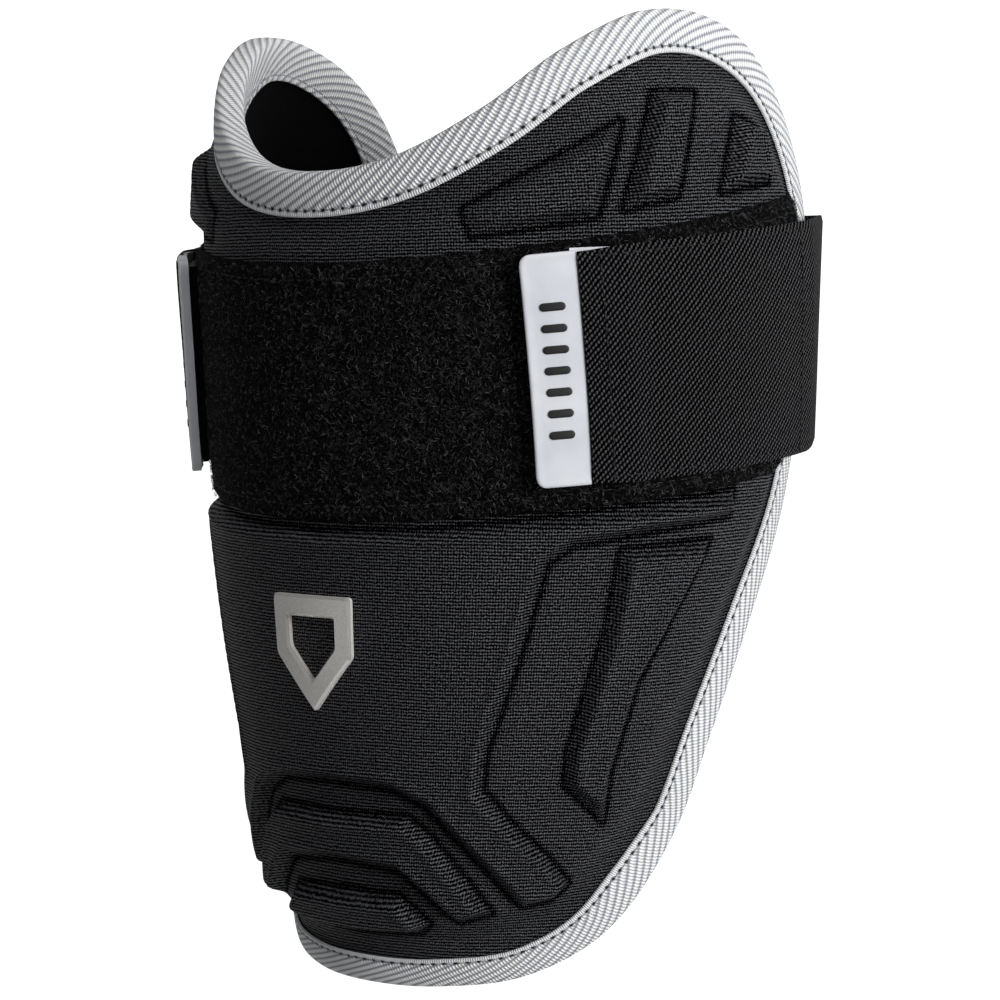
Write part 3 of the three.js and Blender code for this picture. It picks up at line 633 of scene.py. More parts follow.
def lacquer_material(name, code, roughness, scatter, metallic):
    material, tree = start_material(name)
    where = add(tree, "ShaderNodeTexCoord").outputs["Object"]
    flakes = add(tree, "ShaderNodeTexNoise", {"Vector": where, "Scale": 2600.0, "Detail": 2.0})
    bump = add(tree, "ShaderNodeBump", {"Height": flakes, "Strength": scatter, "Distance": 0.02 * MM})
    patch = add(tree, "ShaderNodeValToRGB", flakes, stops=((0.3, code), (0.9, "#f3f2ef")))
    shader = add(tree, "ShaderNodeBsdfPrincipled", {
        "Base Color": patch, "Normal": bump, "Metallic": metallic, "Roughness": roughness})
    add(tree, "ShaderNodeOutputMaterial", shader)
    return material


RUBBER = rubber_material("moulded_grey_rubber", "#ced1d8", "#dcdee3", 0.42)
GRIP = rubber_material("moulded_black_rubber", "#090909", "#161617", 0.55)
SATIN = lacquer_material("satin_silver_lacquer", "#d9d5cf", 0.5, 0.5, 0.4)
POLISHED = lacquer_material("polished_bevel", "#e2dfd9", 0.2, 0.1, 0.7)

# %% [markdown]
# ## The padded shell
# The foam is moulded with raised panels, and the knit is drawn over them, so every panel has a steep flank
# with a rounded crest, and a low ridge along its border where the cloth is stretched most. Each panel is an
# outline on the flat layout. How high the cover stands depends only on how far a place lies inside an
# outline, and the result is blurred a little, as cloth bridges a sharp inner corner.

# %% Outlines of the raised panels
# Columns: around and up. Centred panels run from the spine out, and the others stand on each side.
CENTRED_PANELS = {
    "centre_plate": [
        [0.00, 0.478], [0.20, 0.483], [0.40, 0.497], [0.55, 0.507], [0.715, 0.517], [0.712, 0.492],
        [0.53, 0.479], [0.425, 0.468], [0.385, 0.450], [0.350, 0.350], [0.305, 0.255], [0.302, 0.215],
        [0.368, 0.175], [0.432, 0.145], [0.485, 0.115], [0.455, 0.098], [0.390, 0.093], [0.250, 0.168],
        [0.200, 0.196], [0.135, 0.212], [0.00, 0.216],
    ],
    "chevron": [
        [0.00, 0.182], [0.160, 0.184], [0.203, 0.168], [0.332, 0.086], [0.262, 0.076], [0.160, 0.120],
        [0.140, 0.128], [0.00, 0.134],
    ],
    "tail_nub": [[0.00, 0.103], [0.140, 0.101], [0.200, 0.074], [0.170, 0.060], [0.00, 0.055]],
}
PAIRED_PANELS = {
    "blade": [
        [0.505, 0.462], [0.672, 0.468], [0.562, 0.325], [0.533, 0.229], [0.535, 0.180], [0.450, 0.220],
        [0.449, 0.257], [0.492, 0.380],
    ],
    "front_wedge": [[0.262, 0.808], [0.508, 0.890], [0.456, 0.797], [0.272, 0.782]],
    "middle_rib": [[0.569, 0.918], [0.645, 0.917], [0.589, 0.816], [0.498, 0.803]],
    "back_rib": [[0.729, 0.893], [0.790, 0.880], [0.790, 0.828], [0.674, 0.818]],
}
FLANK = 2.7
RIDGE = 0.26
RIDGE_IN = 2.0
RIDGE_BREADTH = 0.8
GROOVE = 0.1
GROOVE_OUT = 0.6
WEDGE_START = 0.262
WEDGE_END = 0.508
WEDGE_FOOT = 0.15
WEDGE_RISE = 1.4
BLUR = 0.6
COVER_GRID = 0.62
LINING_GRID = 2.2
print("panels:", len(CENTRED_PANELS), "centred and", len(PAIRED_PANELS), "in pairs")


# %% How far inside an outline, and how high the cover stands
def depth_inside(corners, around, up):
    corners = np.array(corners)
    x = around * FLAT_AROUND
    y = up * HEIGHT
    flat = corners * np.array([FLAT_AROUND, HEIGHT])
    nearest = np.full(x.shape, np.inf)
    for start, end in zip(flat, np.roll(flat, -1, axis=0)):
        if start[0] == 0 and end[0] == 0:
            continue
        line = end - start
        x_away = x - start[0]
        y_away = y - start[1]
        share = np.clip((x_away * line[0] + y_away * line[1]) / (line @ line), 0, 1)
        nearest = np.minimum(nearest, np.hypot(x_away - share * line[0], y_away - share * line[1]))
    return np.where(within(corners, around, up), nearest, -nearest)


def blur(field, reach):
    span = np.arange(-3, 4)
    weights = np.exp(-0.5 * (span / reach) ** 2)
    weights /= weights.sum()
    for axis in (0, 1):
        field = sum(weight * np.roll(field, step, axis=axis) for weight, step in zip(weights, span))
    return field


def panel_relief(around, up):
    side = np.abs(around)
    relief = np.zeros(side.shape)
    for name, corners in (CENTRED_PANELS | PAIRED_PANELS).items():
        depth = depth_inside(corners, side, up)
        rise = smooth(depth / FLANK) + RIDGE * np.exp(-0.5 * ((depth - RIDGE_IN) / RIDGE_BREADTH) ** 2)
        if name == "front_wedge":
            run = np.clip((side - WEDGE_START) / (WEDGE_END - WEDGE_START), 0, 1)
            rise = rise * (WEDGE_FOOT + (WEDGE_RISE - WEDGE_FOOT) * run)
        groove = -GROOVE * np.exp(-0.5 * ((depth + GROOVE_OUT) / GROOVE_OUT) ** 2)
        relief = np.maximum(relief, rise) + groove * (relief < 0.05)
    return RELIEF * blur(relief, BLUR)


def cover_top(around, up, distance):
    return pad_height(distance) + panel_relief(around, up)


def mark_panels(item, around, up):
    """Keeps the distance inside the nearest panel's outline, in millimetres, as an attribute of the cover."""
    side = np.abs(around)
    depth = np.max([depth_inside(corners, side, up) for corners in (CENTRED_PANELS | PAIRED_PANELS).values()],
                   axis=0)
    values = np.full(len(item.data.vertices), -9.0, np.float32)
    values[:len(depth)] = depth
    layer = item.data.attributes.new("panel_depth", "FLOAT", "POINT")
    layer.data.foreach_set("value", values)


# %% Make the shell and the lining
cover, cover_around, cover_up = cut_sheet(
    "knit_cover", COVER_GRID, 1.0, cover_top, lambda a, u, d: np.full(a.shape, SHELL_LOW), [KNIT])
mark_panels(cover, cover_around, cover_up)
lining = cut_sheet(
    "lining_knit", LINING_GRID, 1.2, lambda a, u, d: np.full(a.shape, LINING),
    lambda a, u, d: np.zeros(a.shape), [LINING_KNIT])[0]

# %% [markdown]
# ## The binding tape
# The tape is folded round the rim and sewn through. Its profile is swept along the rim: a flat selvedge, a
# dip at the stitch line, a soft swell over the foam's edge and the same again on the arm side. Between two
# needle holes the tape puffs up a little, which a sewn tape always shows.

# %% Profile of the folded tape
# Columns: out, in millimetres outward from the rim, and offset from the sheet
TAPE_PROFILE = np.array([
    [-8.50, 3.95], [-8.52, 4.25], [-8.42, 4.55], [-8.15, 4.66], [-7.70, 4.62], [-7.10, 4.46], [-6.40, 4.68],
    [-5.00, 4.95], [-3.00, 5.04], [-1.20, 4.98], [0.10, 4.78], [0.85, 4.35], [1.20, 3.60], [1.30, 2.60],
    [1.30, 1.40], [1.25, 0.20], [1.00, -0.80], [0.45, -1.40], [-0.60, -1.65], [-2.60, -1.70], [-5.00, -1.62],
    [-6.40, -1.45], [-7.10, -1.28], [-7.70, -1.42], [-8.15, -1.50], [-8.45, -1.35], [-8.52, -1.00],
    [-8.50, -0.68], [-6.5, -0.66], [-3.0, -0.66], [0.30, -0.62], [0.32, 1.60], [0.30, 3.90], [-3.0, 3.93],
    [-6.5, 3.93],
])
STATIONS_PER_STITCH = 4
EVEN_REACH = 8
PUCKER = 0.2
PUCKER_REACH = 0.9
HIDDEN_TURN = 24
TAIL_END = 0.1
TAIL_NARROWING = 0.36
print("rows of the tape's profile:", len(TAPE_PROFILE))


# %% Sweep the tape round the rim
def even_out(rows):
    """Each row becomes the mean of its neighbours on the closed rim, so that the tape has no sudden bend."""
    return np.mean([np.roll(rows, step, axis=0) for step in range(-EVEN_REACH, EVEN_REACH + 1)], axis=0)


def rim_frames(turns):
    spots = outline_at(turns)
    ahead = outline_at(turns + 0.02)
    behind = outline_at(turns - 0.02)
    along = sheet(ahead[:, 0], ahead[:, 1]) - sheet(behind[:, 0], behind[:, 1])
    along /= np.linalg.norm(along, axis=1, keepdims=True)
    along_around, along_up, normal = slopes_at(spots[:, 0], spots[:, 1])
    outward = -np.cross(along, normal)
    outward /= np.linalg.norm(outward, axis=1, keepdims=True)
    aa = (along_around ** 2).sum(1)
    au = (along_around * along_up).sum(1)
    uu = (along_up ** 2).sum(1)
    a = (outward * along_around).sum(1)
    u = (outward * along_up).sum(1)
    bulk = aa * uu - au * au
    steps = np.stack([(a * uu - u * au) / bulk, (u * aa - a * au) / bulk], axis=1)
    return spots, sheet(spots[:, 0], spots[:, 1]), even_out(normal), even_out(outward), even_out(steps)


def from_rim(frames, out, offset):
    """Worn points beside the rim. The tape's inner part is drawn narrower where it turns under the tail."""
    spots, points, normal, outward, steps = frames
    if out < 0:
        share = 1 - TAIL_NARROWING * smooth((TAIL_END - spots[:, 1]) / TAIL_END)
        moved = spots + steps * (out * share)[:, None]
        return place(moved[:, 0], moved[:, 1], offset)
    return points + normal * np.reshape(offset, (-1, 1)) + outward * out


def tape_turns():
    """Turns of the stations. They start on the far wing under the strap, where the tape's ends meet."""
    turns = even_turns(STITCH_COUNT * STATIONS_PER_STITCH)[0]
    return np.roll(turns, -int(np.argmax(turns >= HIDDEN_TURN)))


def tape_mesh(frames):
    stations = len(frames[0])
    needle = 0.5 + 0.5 * np.cos(2 * math.pi * np.arange(stations) / STATIONS_PER_STITCH)
    hoops = []
    for out, offset in TAPE_PROFILE:
        outer = 1.0 if offset > 3.94 else -1.0 if offset < -0.7 else 0.0
        near = math.exp(-0.5 * ((out - STITCH_OUT) / PUCKER_REACH) ** 2)
        pucker = PUCKER * outer * near * (0.5 - needle)
        hoops.append(from_rim(frames, out, offset + pucker))
    points = np.stack(hoops, axis=1)
    sides = len(TAPE_PROFILE)
    index = np.arange(stations * sides).reshape(stations, sides)
    after = np.roll(index, -1, axis=0)
    turn = np.roll(index, -1, axis=1)
    corner = np.roll(after, -1, axis=1)
    faces = np.stack([index, turn, corner, after], axis=-1).reshape(-1, 4)
    ring = np.concatenate([TAPE_PROFILE, TAPE_PROFILE[:1]])
    across = np.concatenate([[0], np.cumsum(np.linalg.norm(np.diff(ring, axis=0), axis=1))])
    across -= across[np.argmin(np.abs(TAPE_PROFILE[:12, 0] - STITCH_OUT))]
    step = RIM_LENGTH / stations
    here, side = np.meshgrid(np.arange(stations), np.arange(sides), indexing="ij")
    flat = np.stack([np.stack([(here + ahead) * step, across[side + over]], axis=-1)
                     for over, ahead in SQUARE], axis=-2)
    return points.reshape(-1, 3), faces.tolist(), flat.reshape(-1, 2)


tape_frames = rim_frames(tape_turns())
tape_points, tape_faces, tape_flat = tape_mesh(tape_frames)
tape = make_piece("binding_tape", on_table(tape_points), tape_faces, tape_flat, [TAPE], crease=70)


# %% [markdown]
# ## Stitches
# A stitch is a short raised length of thread, and a seam has hundreds. A small Geometry Nodes tree takes a
# line with a point for each stitch and the way up at each, and sets one thread there, along the line. Every
# such tree starts with named inputs and ends by making its instances real, in their material.


# %% A Geometry Nodes tree that sews along a line
def open_tree(name, inputs, output):
    """An empty tree with its inputs, each a name and a kind of socket. Returns it and what it is given."""
    tree = bpy.data.node_groups.new(name, "GeometryNodeTree")
    for label, kind in inputs.items():
        tree.interface.new_socket(label, in_out="INPUT", socket_type="NodeSocket" + kind)
    tree.interface.new_socket(output, in_out="OUTPUT", socket_type="NodeSocketGeometry")
    return tree, tree.nodes.new("NodeGroupInput").outputs


def close_tree(tree, placed, material):
    real = add(tree, "GeometryNodeRealizeInstances", placed)
    finished = add(tree, "GeometryNodeSetMaterial", {"Geometry": real, "Material": material})
    add(tree, "NodeGroupOutput", add(tree, "GeometryNodeSetShadeSmooth", finished))
    return tree


def sewing_tree():
    inputs = {"Line": "Geometry", "Length": "Float", "Thread": "Float", "Material": "Material"}
    tree, given = open_tree("sew_along_line", inputs, "Stitches")
    curve = add(tree, "GeometryNodeMeshToCurve", given["Line"])
    lift = add(tree, "GeometryNodeInputNamedAttribute", {"Name": "lift"}, data_type="FLOAT_VECTOR")
    upright = add(tree, "FunctionNodeAlignRotationToVector", {"Vector": lift}, axis="Z")
    tangent = add(tree, "GeometryNodeInputTangent")
    turned = add(tree, "FunctionNodeAlignRotationToVector", {"Rotation": upright, "Vector": tangent},
                 axis="X", pivot_axis="Z")
    thread = add(tree, "GeometryNodeMeshUVSphere", {"Segments": 6, "Rings": 5, "Radius": 0.5})
    size = add(tree, "ShaderNodeCombineXYZ", given["Length"], given["Thread"], given["Thread"])
    shaped = add(tree, "GeometryNodeTransform", {"Geometry": thread, "Scale": size})
    sewn = add(tree, "GeometryNodeInstanceOnPoints",
               {"Points": curve, "Instance": shaped, "Rotation": turned})
    return close_tree(tree, sewn, given["Material"])


def run_tree(name, source, tree, values):
    """Runs a tree on an object, and leaves a plain mesh of the result under that name."""
    modifier = source.modifiers.new("made", "NODES")
    modifier.node_group = tree
    for item in tree.interface.items_tree:
        if item.in_out == "INPUT" and item.name in values:
            modifier[item.identifier] = values[item.name]
    depsgraph = bpy.context.evaluated_depsgraph_get()
    mesh = bpy.data.meshes.new_from_object(source.evaluated_get(depsgraph), depsgraph=depsgraph)
    mesh.name = name
    bpy.data.objects.remove(source)
    print(name, "faces:", len(mesh.polygons))
    return put_in_scene(name, mesh)


SEWING = sewing_tree()


def step_along(points, ups, pitch):
    """Points and ways up at equal steps of about the pitch along an open line."""
    run = np.concatenate([[0], np.cumsum(np.linalg.norm(np.diff(points, axis=0), axis=1))])
    goals = np.linspace(0, run[-1], max(int(round(run[-1] / pitch)), 1) + 1)
    spots = np.stack([np.interp(goals, run, points[:, k]) for k in range(3)], axis=1)
    ways = np.stack([np.interp(goals, run, ups[:, k]) for k in range(3)], axis=1)
    return spots, ways / np.linalg.norm(ways, axis=1, keepdims=True)


def sew(name, lines, material, length=1.9, thread=0.42):
    """Sews lines, each the worn points of its stitches in millimetres, the ways up, and whether it closes."""
    points = []
    edges = []
    lifts = []
    for line, ups, closed in lines:
        start = len(points)
        points += on_table(line).tolist()
        lifts.append(ups @ TURN.T)
        count = len(line)
        edges += [(start + k, start + (k + 1) % count) for k in range(count if closed else count - 1)]
    source = plain_object(name + "_line", points, edges, [])
    layer = source.data.attributes.new("lift", "FLOAT_VECTOR", "POINT")
    layer.data.foreach_set("vector", np.concatenate(lifts).astype(np.float32).ravel())
    values = {"Length": length * MM, "Thread": thread * MM, "Material": material}
    return run_tree(name, source, SEWING, values)


# %% Sew the tape on both sides
OUTER_SEAM = 4.58
ARM_SEAM = -1.4
seam_frames = [part[2::STATIONS_PER_STITCH] for part in tape_frames]
outer_seam = from_rim(seam_frames, STITCH_OUT, OUTER_SEAM)
arm_seam = from_rim(seam_frames, STITCH_OUT, ARM_SEAM)
tape_stitches = sew("tape_stitches", [(outer_seam, seam_frames[2], True), (arm_seam, -seam_frames[2], True)],
                    GREY_THREAD, length=1.75, thread=0.36)

# %% [markdown]
# ## The loop band
# The band is a strip of loop pile across the front, cut to end against the two tapes and sewn near its edges.
# Its slab is thin, with a soft edge, and the pile on it comes next.


# %% Where the band lies
BAND_END = TAPE_REACH + 0.6
BAND_LOW = CLEARANCE
BAND_THICKNESS = 1.4
BAND_COLUMNS = 170
BAND_ROWS = 34
COLUMN_STEP = 1.4
ROW_STEP = 1.7
BAND_ROUNDING = 1.8
BAND_SEAM = 3.4


def band_up(around, rise):
    """How far up a place on the band is, from its foot (rise 0) to its head (rise 1). Both climb a little."""
    foot = 0.488 + 0.058 * np.abs(around) ** 1.4
    head = 0.757 + 0.075 * np.abs(around) ** 1.6
    return foot + (head - foot) * rise


def band_reach(rise):
    """How far around the band goes at this rise before it meets the tape."""
    probe = np.linspace(0.6, 0.96, 361)
    ok = edge_distance(probe, band_up(probe, rise)) >= BAND_END
    past = np.argmax(~ok & (probe > 0.7))
    return probe[max(past - 1, 0)]


def band_spots(columns, rows, inset=0.0):
    rises = np.linspace(inset, 1 - inset, rows)
    reaches = np.array([band_reach(rise) for rise in rises])
    around = np.linspace(-1, 1, columns)[:, None] * reaches[None, :]
    return around, band_up(around, rises[None, :])


def band_mesh():
    around, up = band_spots(BAND_COLUMNS, BAND_ROWS)
    base = pad_height(edge_distance(around, up)) + BAND_LOW
    rows = np.arange(BAND_ROWS)
    columns = np.arange(BAND_COLUMNS)
    from_side = np.minimum(rows, BAND_ROWS - 1 - rows) * ROW_STEP
    from_end = np.minimum(columns, BAND_COLUMNS - 1 - columns) * COLUMN_STEP
    edge = np.minimum(from_side[None, :], from_end[:, None])
    rounding = np.sqrt(np.clip(edge / BAND_ROUNDING, 0, 1))
    seam = np.exp(-0.5 * ((from_side - BAND_SEAM) / 0.9) ** 2)[None, :]
    top = place(around, up, base + BAND_THICKNESS * (0.35 + 0.65 * rounding) - 0.25 * seam)
    low = place(around, up, base)
    flat = np.stack([around * FLAT_AROUND, up * HEIGHT], axis=-1)
    return make_slab("loop_pile_band", top, low, flat, [PILE])


band = band_mesh()


# %% [markdown]
# The pile is a crowd of curled threads. One curl is a short bent tube, and Geometry Nodes scatter about
# eleven thousand of them over the band with random turns and sizes, from fixed seeds.


# %% Scatter curls over the pile
CURL_COUNT = 10800
CURL_THICKNESS = 0.055
def curl_points():
    """One curl in millimetres: a thin three-sided tube along a leaning loop."""
    steps = 4
    share = np.linspace(0, 1, steps)
    path = np.stack([0.5 * np.sin(share * 4.2), 0.3 * np.sin(share * 2.4 + 0.6) - 0.2,
                     0.6 * np.sin(share * 2.6) - 0.12], axis=1)
    ring = np.array([[math.cos(a), math.sin(a), 0] for a in (0.3, 2.4, 4.5)]) * CURL_THICKNESS
    points = (path[:, None, :] + ring[None, :, :]).reshape(-1, 3)
    faces = []
    for k in range(steps - 1):
        for side in range(3):
            nxt = (side + 1) % 3
            faces.append((k * 3 + side, k * 3 + nxt, (k + 1) * 3 + nxt, (k + 1) * 3 + side))
    return points * MM, faces


def scatter_tree():
    inputs = {"Ground": "Geometry", "Curl": "Object", "Density": "Float", "Material": "Material"}
    tree, given = open_tree("scatter_curls", inputs, "Pile")
    spread = add(tree, "GeometryNodeDistributePointsOnFaces",
                 {"Mesh": given["Ground"], "Density": given["Density"], "Seed": 7},
                 distribute_method="RANDOM")
    spin = add(tree, "FunctionNodeRandomValue",
               {0: (-0.6, -0.6, -3.14), 1: (0.6, 0.6, 3.14), "Seed": 11}, data_type="FLOAT_VECTOR")
    turned = add(tree, "FunctionNodeRotateRotation",
                 {"Rotation": spread.outputs["Rotation"], "Rotate By": spin}, rotation_space="LOCAL")
    size = add(tree, "FunctionNodeRandomValue", {2: 0.6, 3: 1.25, "Seed": 3}, data_type="FLOAT")
    curl = add(tree, "GeometryNodeObjectInfo", {"Object": given["Curl"]})
    placed = add(tree, "GeometryNodeInstanceOnPoints", {
        "Points": spread, "Instance": curl.outputs["Geometry"], "Rotation": turned, "Scale": size.outputs[1]})
    return close_tree(tree, placed, given["Material"])


def pile_on_band(count):
    around, up = band_spots(90, 20, 0.012)
    around = around * 0.992
    base = pad_height(edge_distance(around, up)) + BAND_LOW + BAND_THICKNESS - 0.1
    points = on_table(place(around, up, base).reshape(-1, 3))
    index = np.arange(around.size).reshape(around.shape)
    faces = np.stack([index[:-1, :-1], index[1:, :-1], index[1:, 1:], index[:-1, 1:]], -1).reshape(-1, 4)
    ground = plain_object("pile_ground", points.tolist(), [], faces.tolist())
    area = sum(face.area for face in ground.data.polygons)
    curl_places, curl_faces = curl_points()
    curl = plain_object("curl", curl_places.tolist(), [], curl_faces)
    values = {"Curl": curl, "Density": count / area, "Material": CURL}
    scattered = run_tree("band_pile", ground, scatter_tree(), values)
    bpy.data.objects.remove(curl)
    return scattered


pile = pile_on_band(CURL_COUNT)

# %% [markdown]
# ## The strap line
# The strap leaves the band at each tab, passes over the hook patch, turns round the wing's edge and runs
# straight across the open back. Along is measured on the strap from the spine, and across is up the arm.

# %% Sizes along the strap
STRAP_WIDTH = 48.0
STRAP_ARC = HALF_WRAP * ((HALF_WIDTH + FRONT_DEPTH) / 2 + HOOK_TOP)
TAB_START = 0.354 * STRAP_ARC
TAB_LENGTH = 11.5
TAB_HEIGHT = 47.6
TAB_RADIUS = 2.2
TAB_THICKNESS = 2.2
FLANGE_LENGTH = 9.0
FLANGE_INSET = 3.0
ELASTIC_START = TAB_START + TAB_LENGTH
HOOK_START = TAB_START + FLANGE_INSET
HOOK_LENGTH = 69.0
HOOK_WIDTH = 44.0
HOOK_END = HOOK_START + HOOK_LENGTH
STRAP_TURN = 0.955 * STRAP_ARC
STRAP_UP = 0.628
STRAP_CLIMB = 0.05
STRAP_SLANT = 0.076
STRAP_BEND = 8.0
ELASTIC_THICKNESS = 1.5
TURN_OFFSET = EDGE_TOP + CLEARANCE + TAPE_THICKNESS + 2.8
NECKING = 0.02
NECK_LENGTH = 10
EASE_LENGTH = 14
MIRROR = np.array([-1, 1, 1])


def strap_spot(along, across):
    """Around and up of a place on the strap, which climbs a little on its way to the wing's edge."""
    around = (along - STRAP_SLANT * across) / STRAP_ARC
    return around, STRAP_UP + STRAP_CLIMB * along / STRAP_ARC + across / HEIGHT


def on_strap(along, across, offset):
    return place(*strap_spot(along, across), offset)


print("strap from tab to turn, mm:", round(STRAP_TURN - ELASTIC_START, 1))


# %% The path of the elastic's underside
def elastic_stations():
    """Along and offset of the stations on the guard, as the elastic steps down off the tab's flange."""
    knots = np.array([
        [ELASTIC_START, FLANGE_TOP + LAYER_GAP],
        [ELASTIC_START + FLANGE_LENGTH + 0.6, FLANGE_TOP + LAYER_GAP],
        [ELASTIC_START + FLANGE_LENGTH + 4.5, HOOK_TOP + LAYER_GAP],
        [HOOK_END + 1, HOOK_TOP + LAYER_GAP],
        [STRAP_TURN, TURN_OFFSET],
    ])
    count = 56
    along = np.linspace(ELASTIC_START, STRAP_TURN, count)
    return along, np.interp(along, knots[:, 0], knots[:, 1])


def elastic_half(lift, levels):
    along, offset = elastic_stations()
    necking = 1 - NECKING * (1 - smooth((along - ELASTIC_START) / NECK_LENGTH))
    on_guard = on_strap(along[:, None], levels[None, :] * necking[:, None], (offset + lift)[:, None])
    edges = levels[[0, -1]]
    bend_steps = 14
    back_steps = 34
    ends = []
    for level in edges:
        around, up = strap_spot(STRAP_TURN, level)
        start = place(around, up, TURN_OFFSET)
        out = slopes_at(np.array(around), np.array(up))[2] * np.array([1, 1, 0])
        out /= np.linalg.norm(out)
        centre = start - out * STRAP_BEND
        first = math.atan2(out[1], out[0])
        angles = first + (math.pi / 2 - first) * np.arange(1, bend_steps + 1) / bend_steps
        reach = STRAP_BEND + lift
        bend = np.stack([centre[0] + np.cos(angles) * reach, centre[1] + np.sin(angles) * reach,
                         np.full(bend_steps, start[2])], axis=1)
        shares = np.arange(1, back_steps + 1) / back_steps
        back = bend[-1] * np.stack([1 - shares, np.ones(back_steps), np.ones(back_steps)], axis=1)
        ends.append(np.concatenate([bend, back]))
    share = ((levels - levels[0]) / (levels[-1] - levels[0]))[None, :, None]
    beyond = ends[0][:, None, :] * (1 - share) + ends[1][:, None, :] * share
    straight = on_guard[:, :1] * (1 - share) + on_guard[:, -1:] * share
    ease = smooth((along - (STRAP_TURN - EASE_LENGTH)) / EASE_LENGTH)[:, None, None]
    on_guard = on_guard * (1 - ease) + straight * ease
    return np.concatenate([on_guard, beyond])


def mirrored_grid(half):
    far = half[:-1][::-1] * MIRROR
    return np.concatenate([half, far])


def elastic_mesh():
    steps = np.linspace(-1, 1, 33)
    levels = STRAP_WIDTH / 2 * np.sign(steps) * np.abs(steps) ** 0.85
    low = mirrored_grid(elastic_half(0.0, levels))
    high = mirrored_grid(elastic_half(ELASTIC_THICKNESS, levels))
    edge = STRAP_WIDTH / 2 - np.abs(levels)
    rounding = 0.5 + 0.5 * np.sqrt(np.clip(edge / 0.9, 0, 1))
    middle = (low + high) / 2
    top = middle + (high - middle) * rounding[None, :, None]
    under = middle + (low - middle) * rounding[None, :, None]
    centre = middle[:, len(levels) // 2]
    run = np.concatenate([[0], np.cumsum(np.linalg.norm(np.diff(centre, axis=0), axis=1))])
    flat = np.stack(np.meshgrid(run, levels, indexing="ij"), axis=-1)
    return make_slab("woven_strap", top, under, flat, [ELASTIC]), run[-1]


strap, strap_length = elastic_mesh()
print("strap length from tab to tab, mm:", round(strap_length, 1))


# %% Sew the elastic down
def strap_line(along, across, offset):
    around, up = strap_spot(along, across)
    return place(around, up, offset), slopes_at(around, up)[2]


def strap_seams():
    along, offset = elastic_stations()
    height = offset + ELASTIC_THICKNESS + 0.05
    first = ELASTIC_START + 4.4
    last = HOOK_END - 4.0
    inset = STRAP_WIDTH / 2 - 1.6
    lines = []
    for side in (-1, 1):
        span = np.linspace(first, last, 60)
        lines.append((span, np.full(60, side * inset)))
    for spot in (first, last):
        lines.append((np.full(40, spot), np.linspace(-inset, inset, 40)))
    seams = []
    for span, across in lines:
        points, ups = step_along(*strap_line(span, across, np.interp(span, along, height)), 2.6)
        seams.append((points, ups, False))
        seams.append((points * MIRROR, ups * MIRROR, False))
    return seams


strap_stitches = sew("strap_stitches", strap_seams(), BLACK_THREAD, length=2.0, thread=0.4)


# %% Sew the band down
def band_seams():
    seams = []
    for rise in (0.062, 0.938):
        around = np.linspace(-0.97, 0.97, 240) * band_reach(rise)
        up = band_up(around, rise)
        offset = pad_height(edge_distance(around, up)) + BAND_LOW + BAND_THICKNESS - 0.15
        points, ups = step_along(place(around, up, offset), slopes_at(around, up)[2], 2.8)
        seams.append((points, ups, False))
    return seams


band_stitches = sew("band_stitches", band_seams(), BLACK_THREAD, length=2.1, thread=0.4)

# %% [markdown]
# ## Pull tabs and hook patches
# A tab is one moulded plate with rounded corners and a softened edge, and a thin flange that the elastic
# covers. The plate is a grid whose rows start where the rounded corner starts, bent onto the strap line.


# %% Make a tab
TAB_BEVEL = 0.55
TAB_LIP = 0.14
FLANGE_OVER = 0.35
FLANGE_TAPER = 0.06


def tab_grid():
    half = TAB_HEIGHT / 2
    steps = np.array([0, 0.08, 0.3, 0.7, 1.2, 2.2, 3.2])
    rows = np.concatenate([-half + steps, np.linspace(-half + 4.5, half - 4.5, 22), half - steps[::-1]])
    into = np.maximum(np.abs(rows) - (half - TAB_RADIUS), 0)
    start = TAB_RADIUS - np.sqrt(np.maximum(TAB_RADIUS ** 2 - into ** 2, 0))
    shares = np.array([0, 0.008, 0.03, 0.07, 0.12, 0.2, 0.32, 0.46, 0.6, 0.74, 0.87, 0.97, 1.0])
    length = TAB_LENGTH - CLEARANCE
    along = start[None, :] + shares[:, None] * (length - start[None, :])
    across = np.broadcast_to(rows, along.shape)
    depth = np.minimum(along - start[None, :], (half - np.abs(rows))[None, :])
    curve = 1 - np.sqrt(1 - np.clip(1 - depth / TAB_BEVEL, 0, 1) ** 2)
    top = TAB_THICKNESS - TAB_BEVEL * curve - TAB_LIP * smooth((depth - 0.7) / 0.3)
    return along, across, top


def one_side(name, points, faces, layout, material, side, crease=50):
    """The piece as it is drawn, on the near side, or its mirror image on the far side."""
    if side < 0:
        points = points * MIRROR
        faces = [face[::-1] for face in faces]
    return make_piece(name, on_table(points), faces, layout, [material], crease=crease)


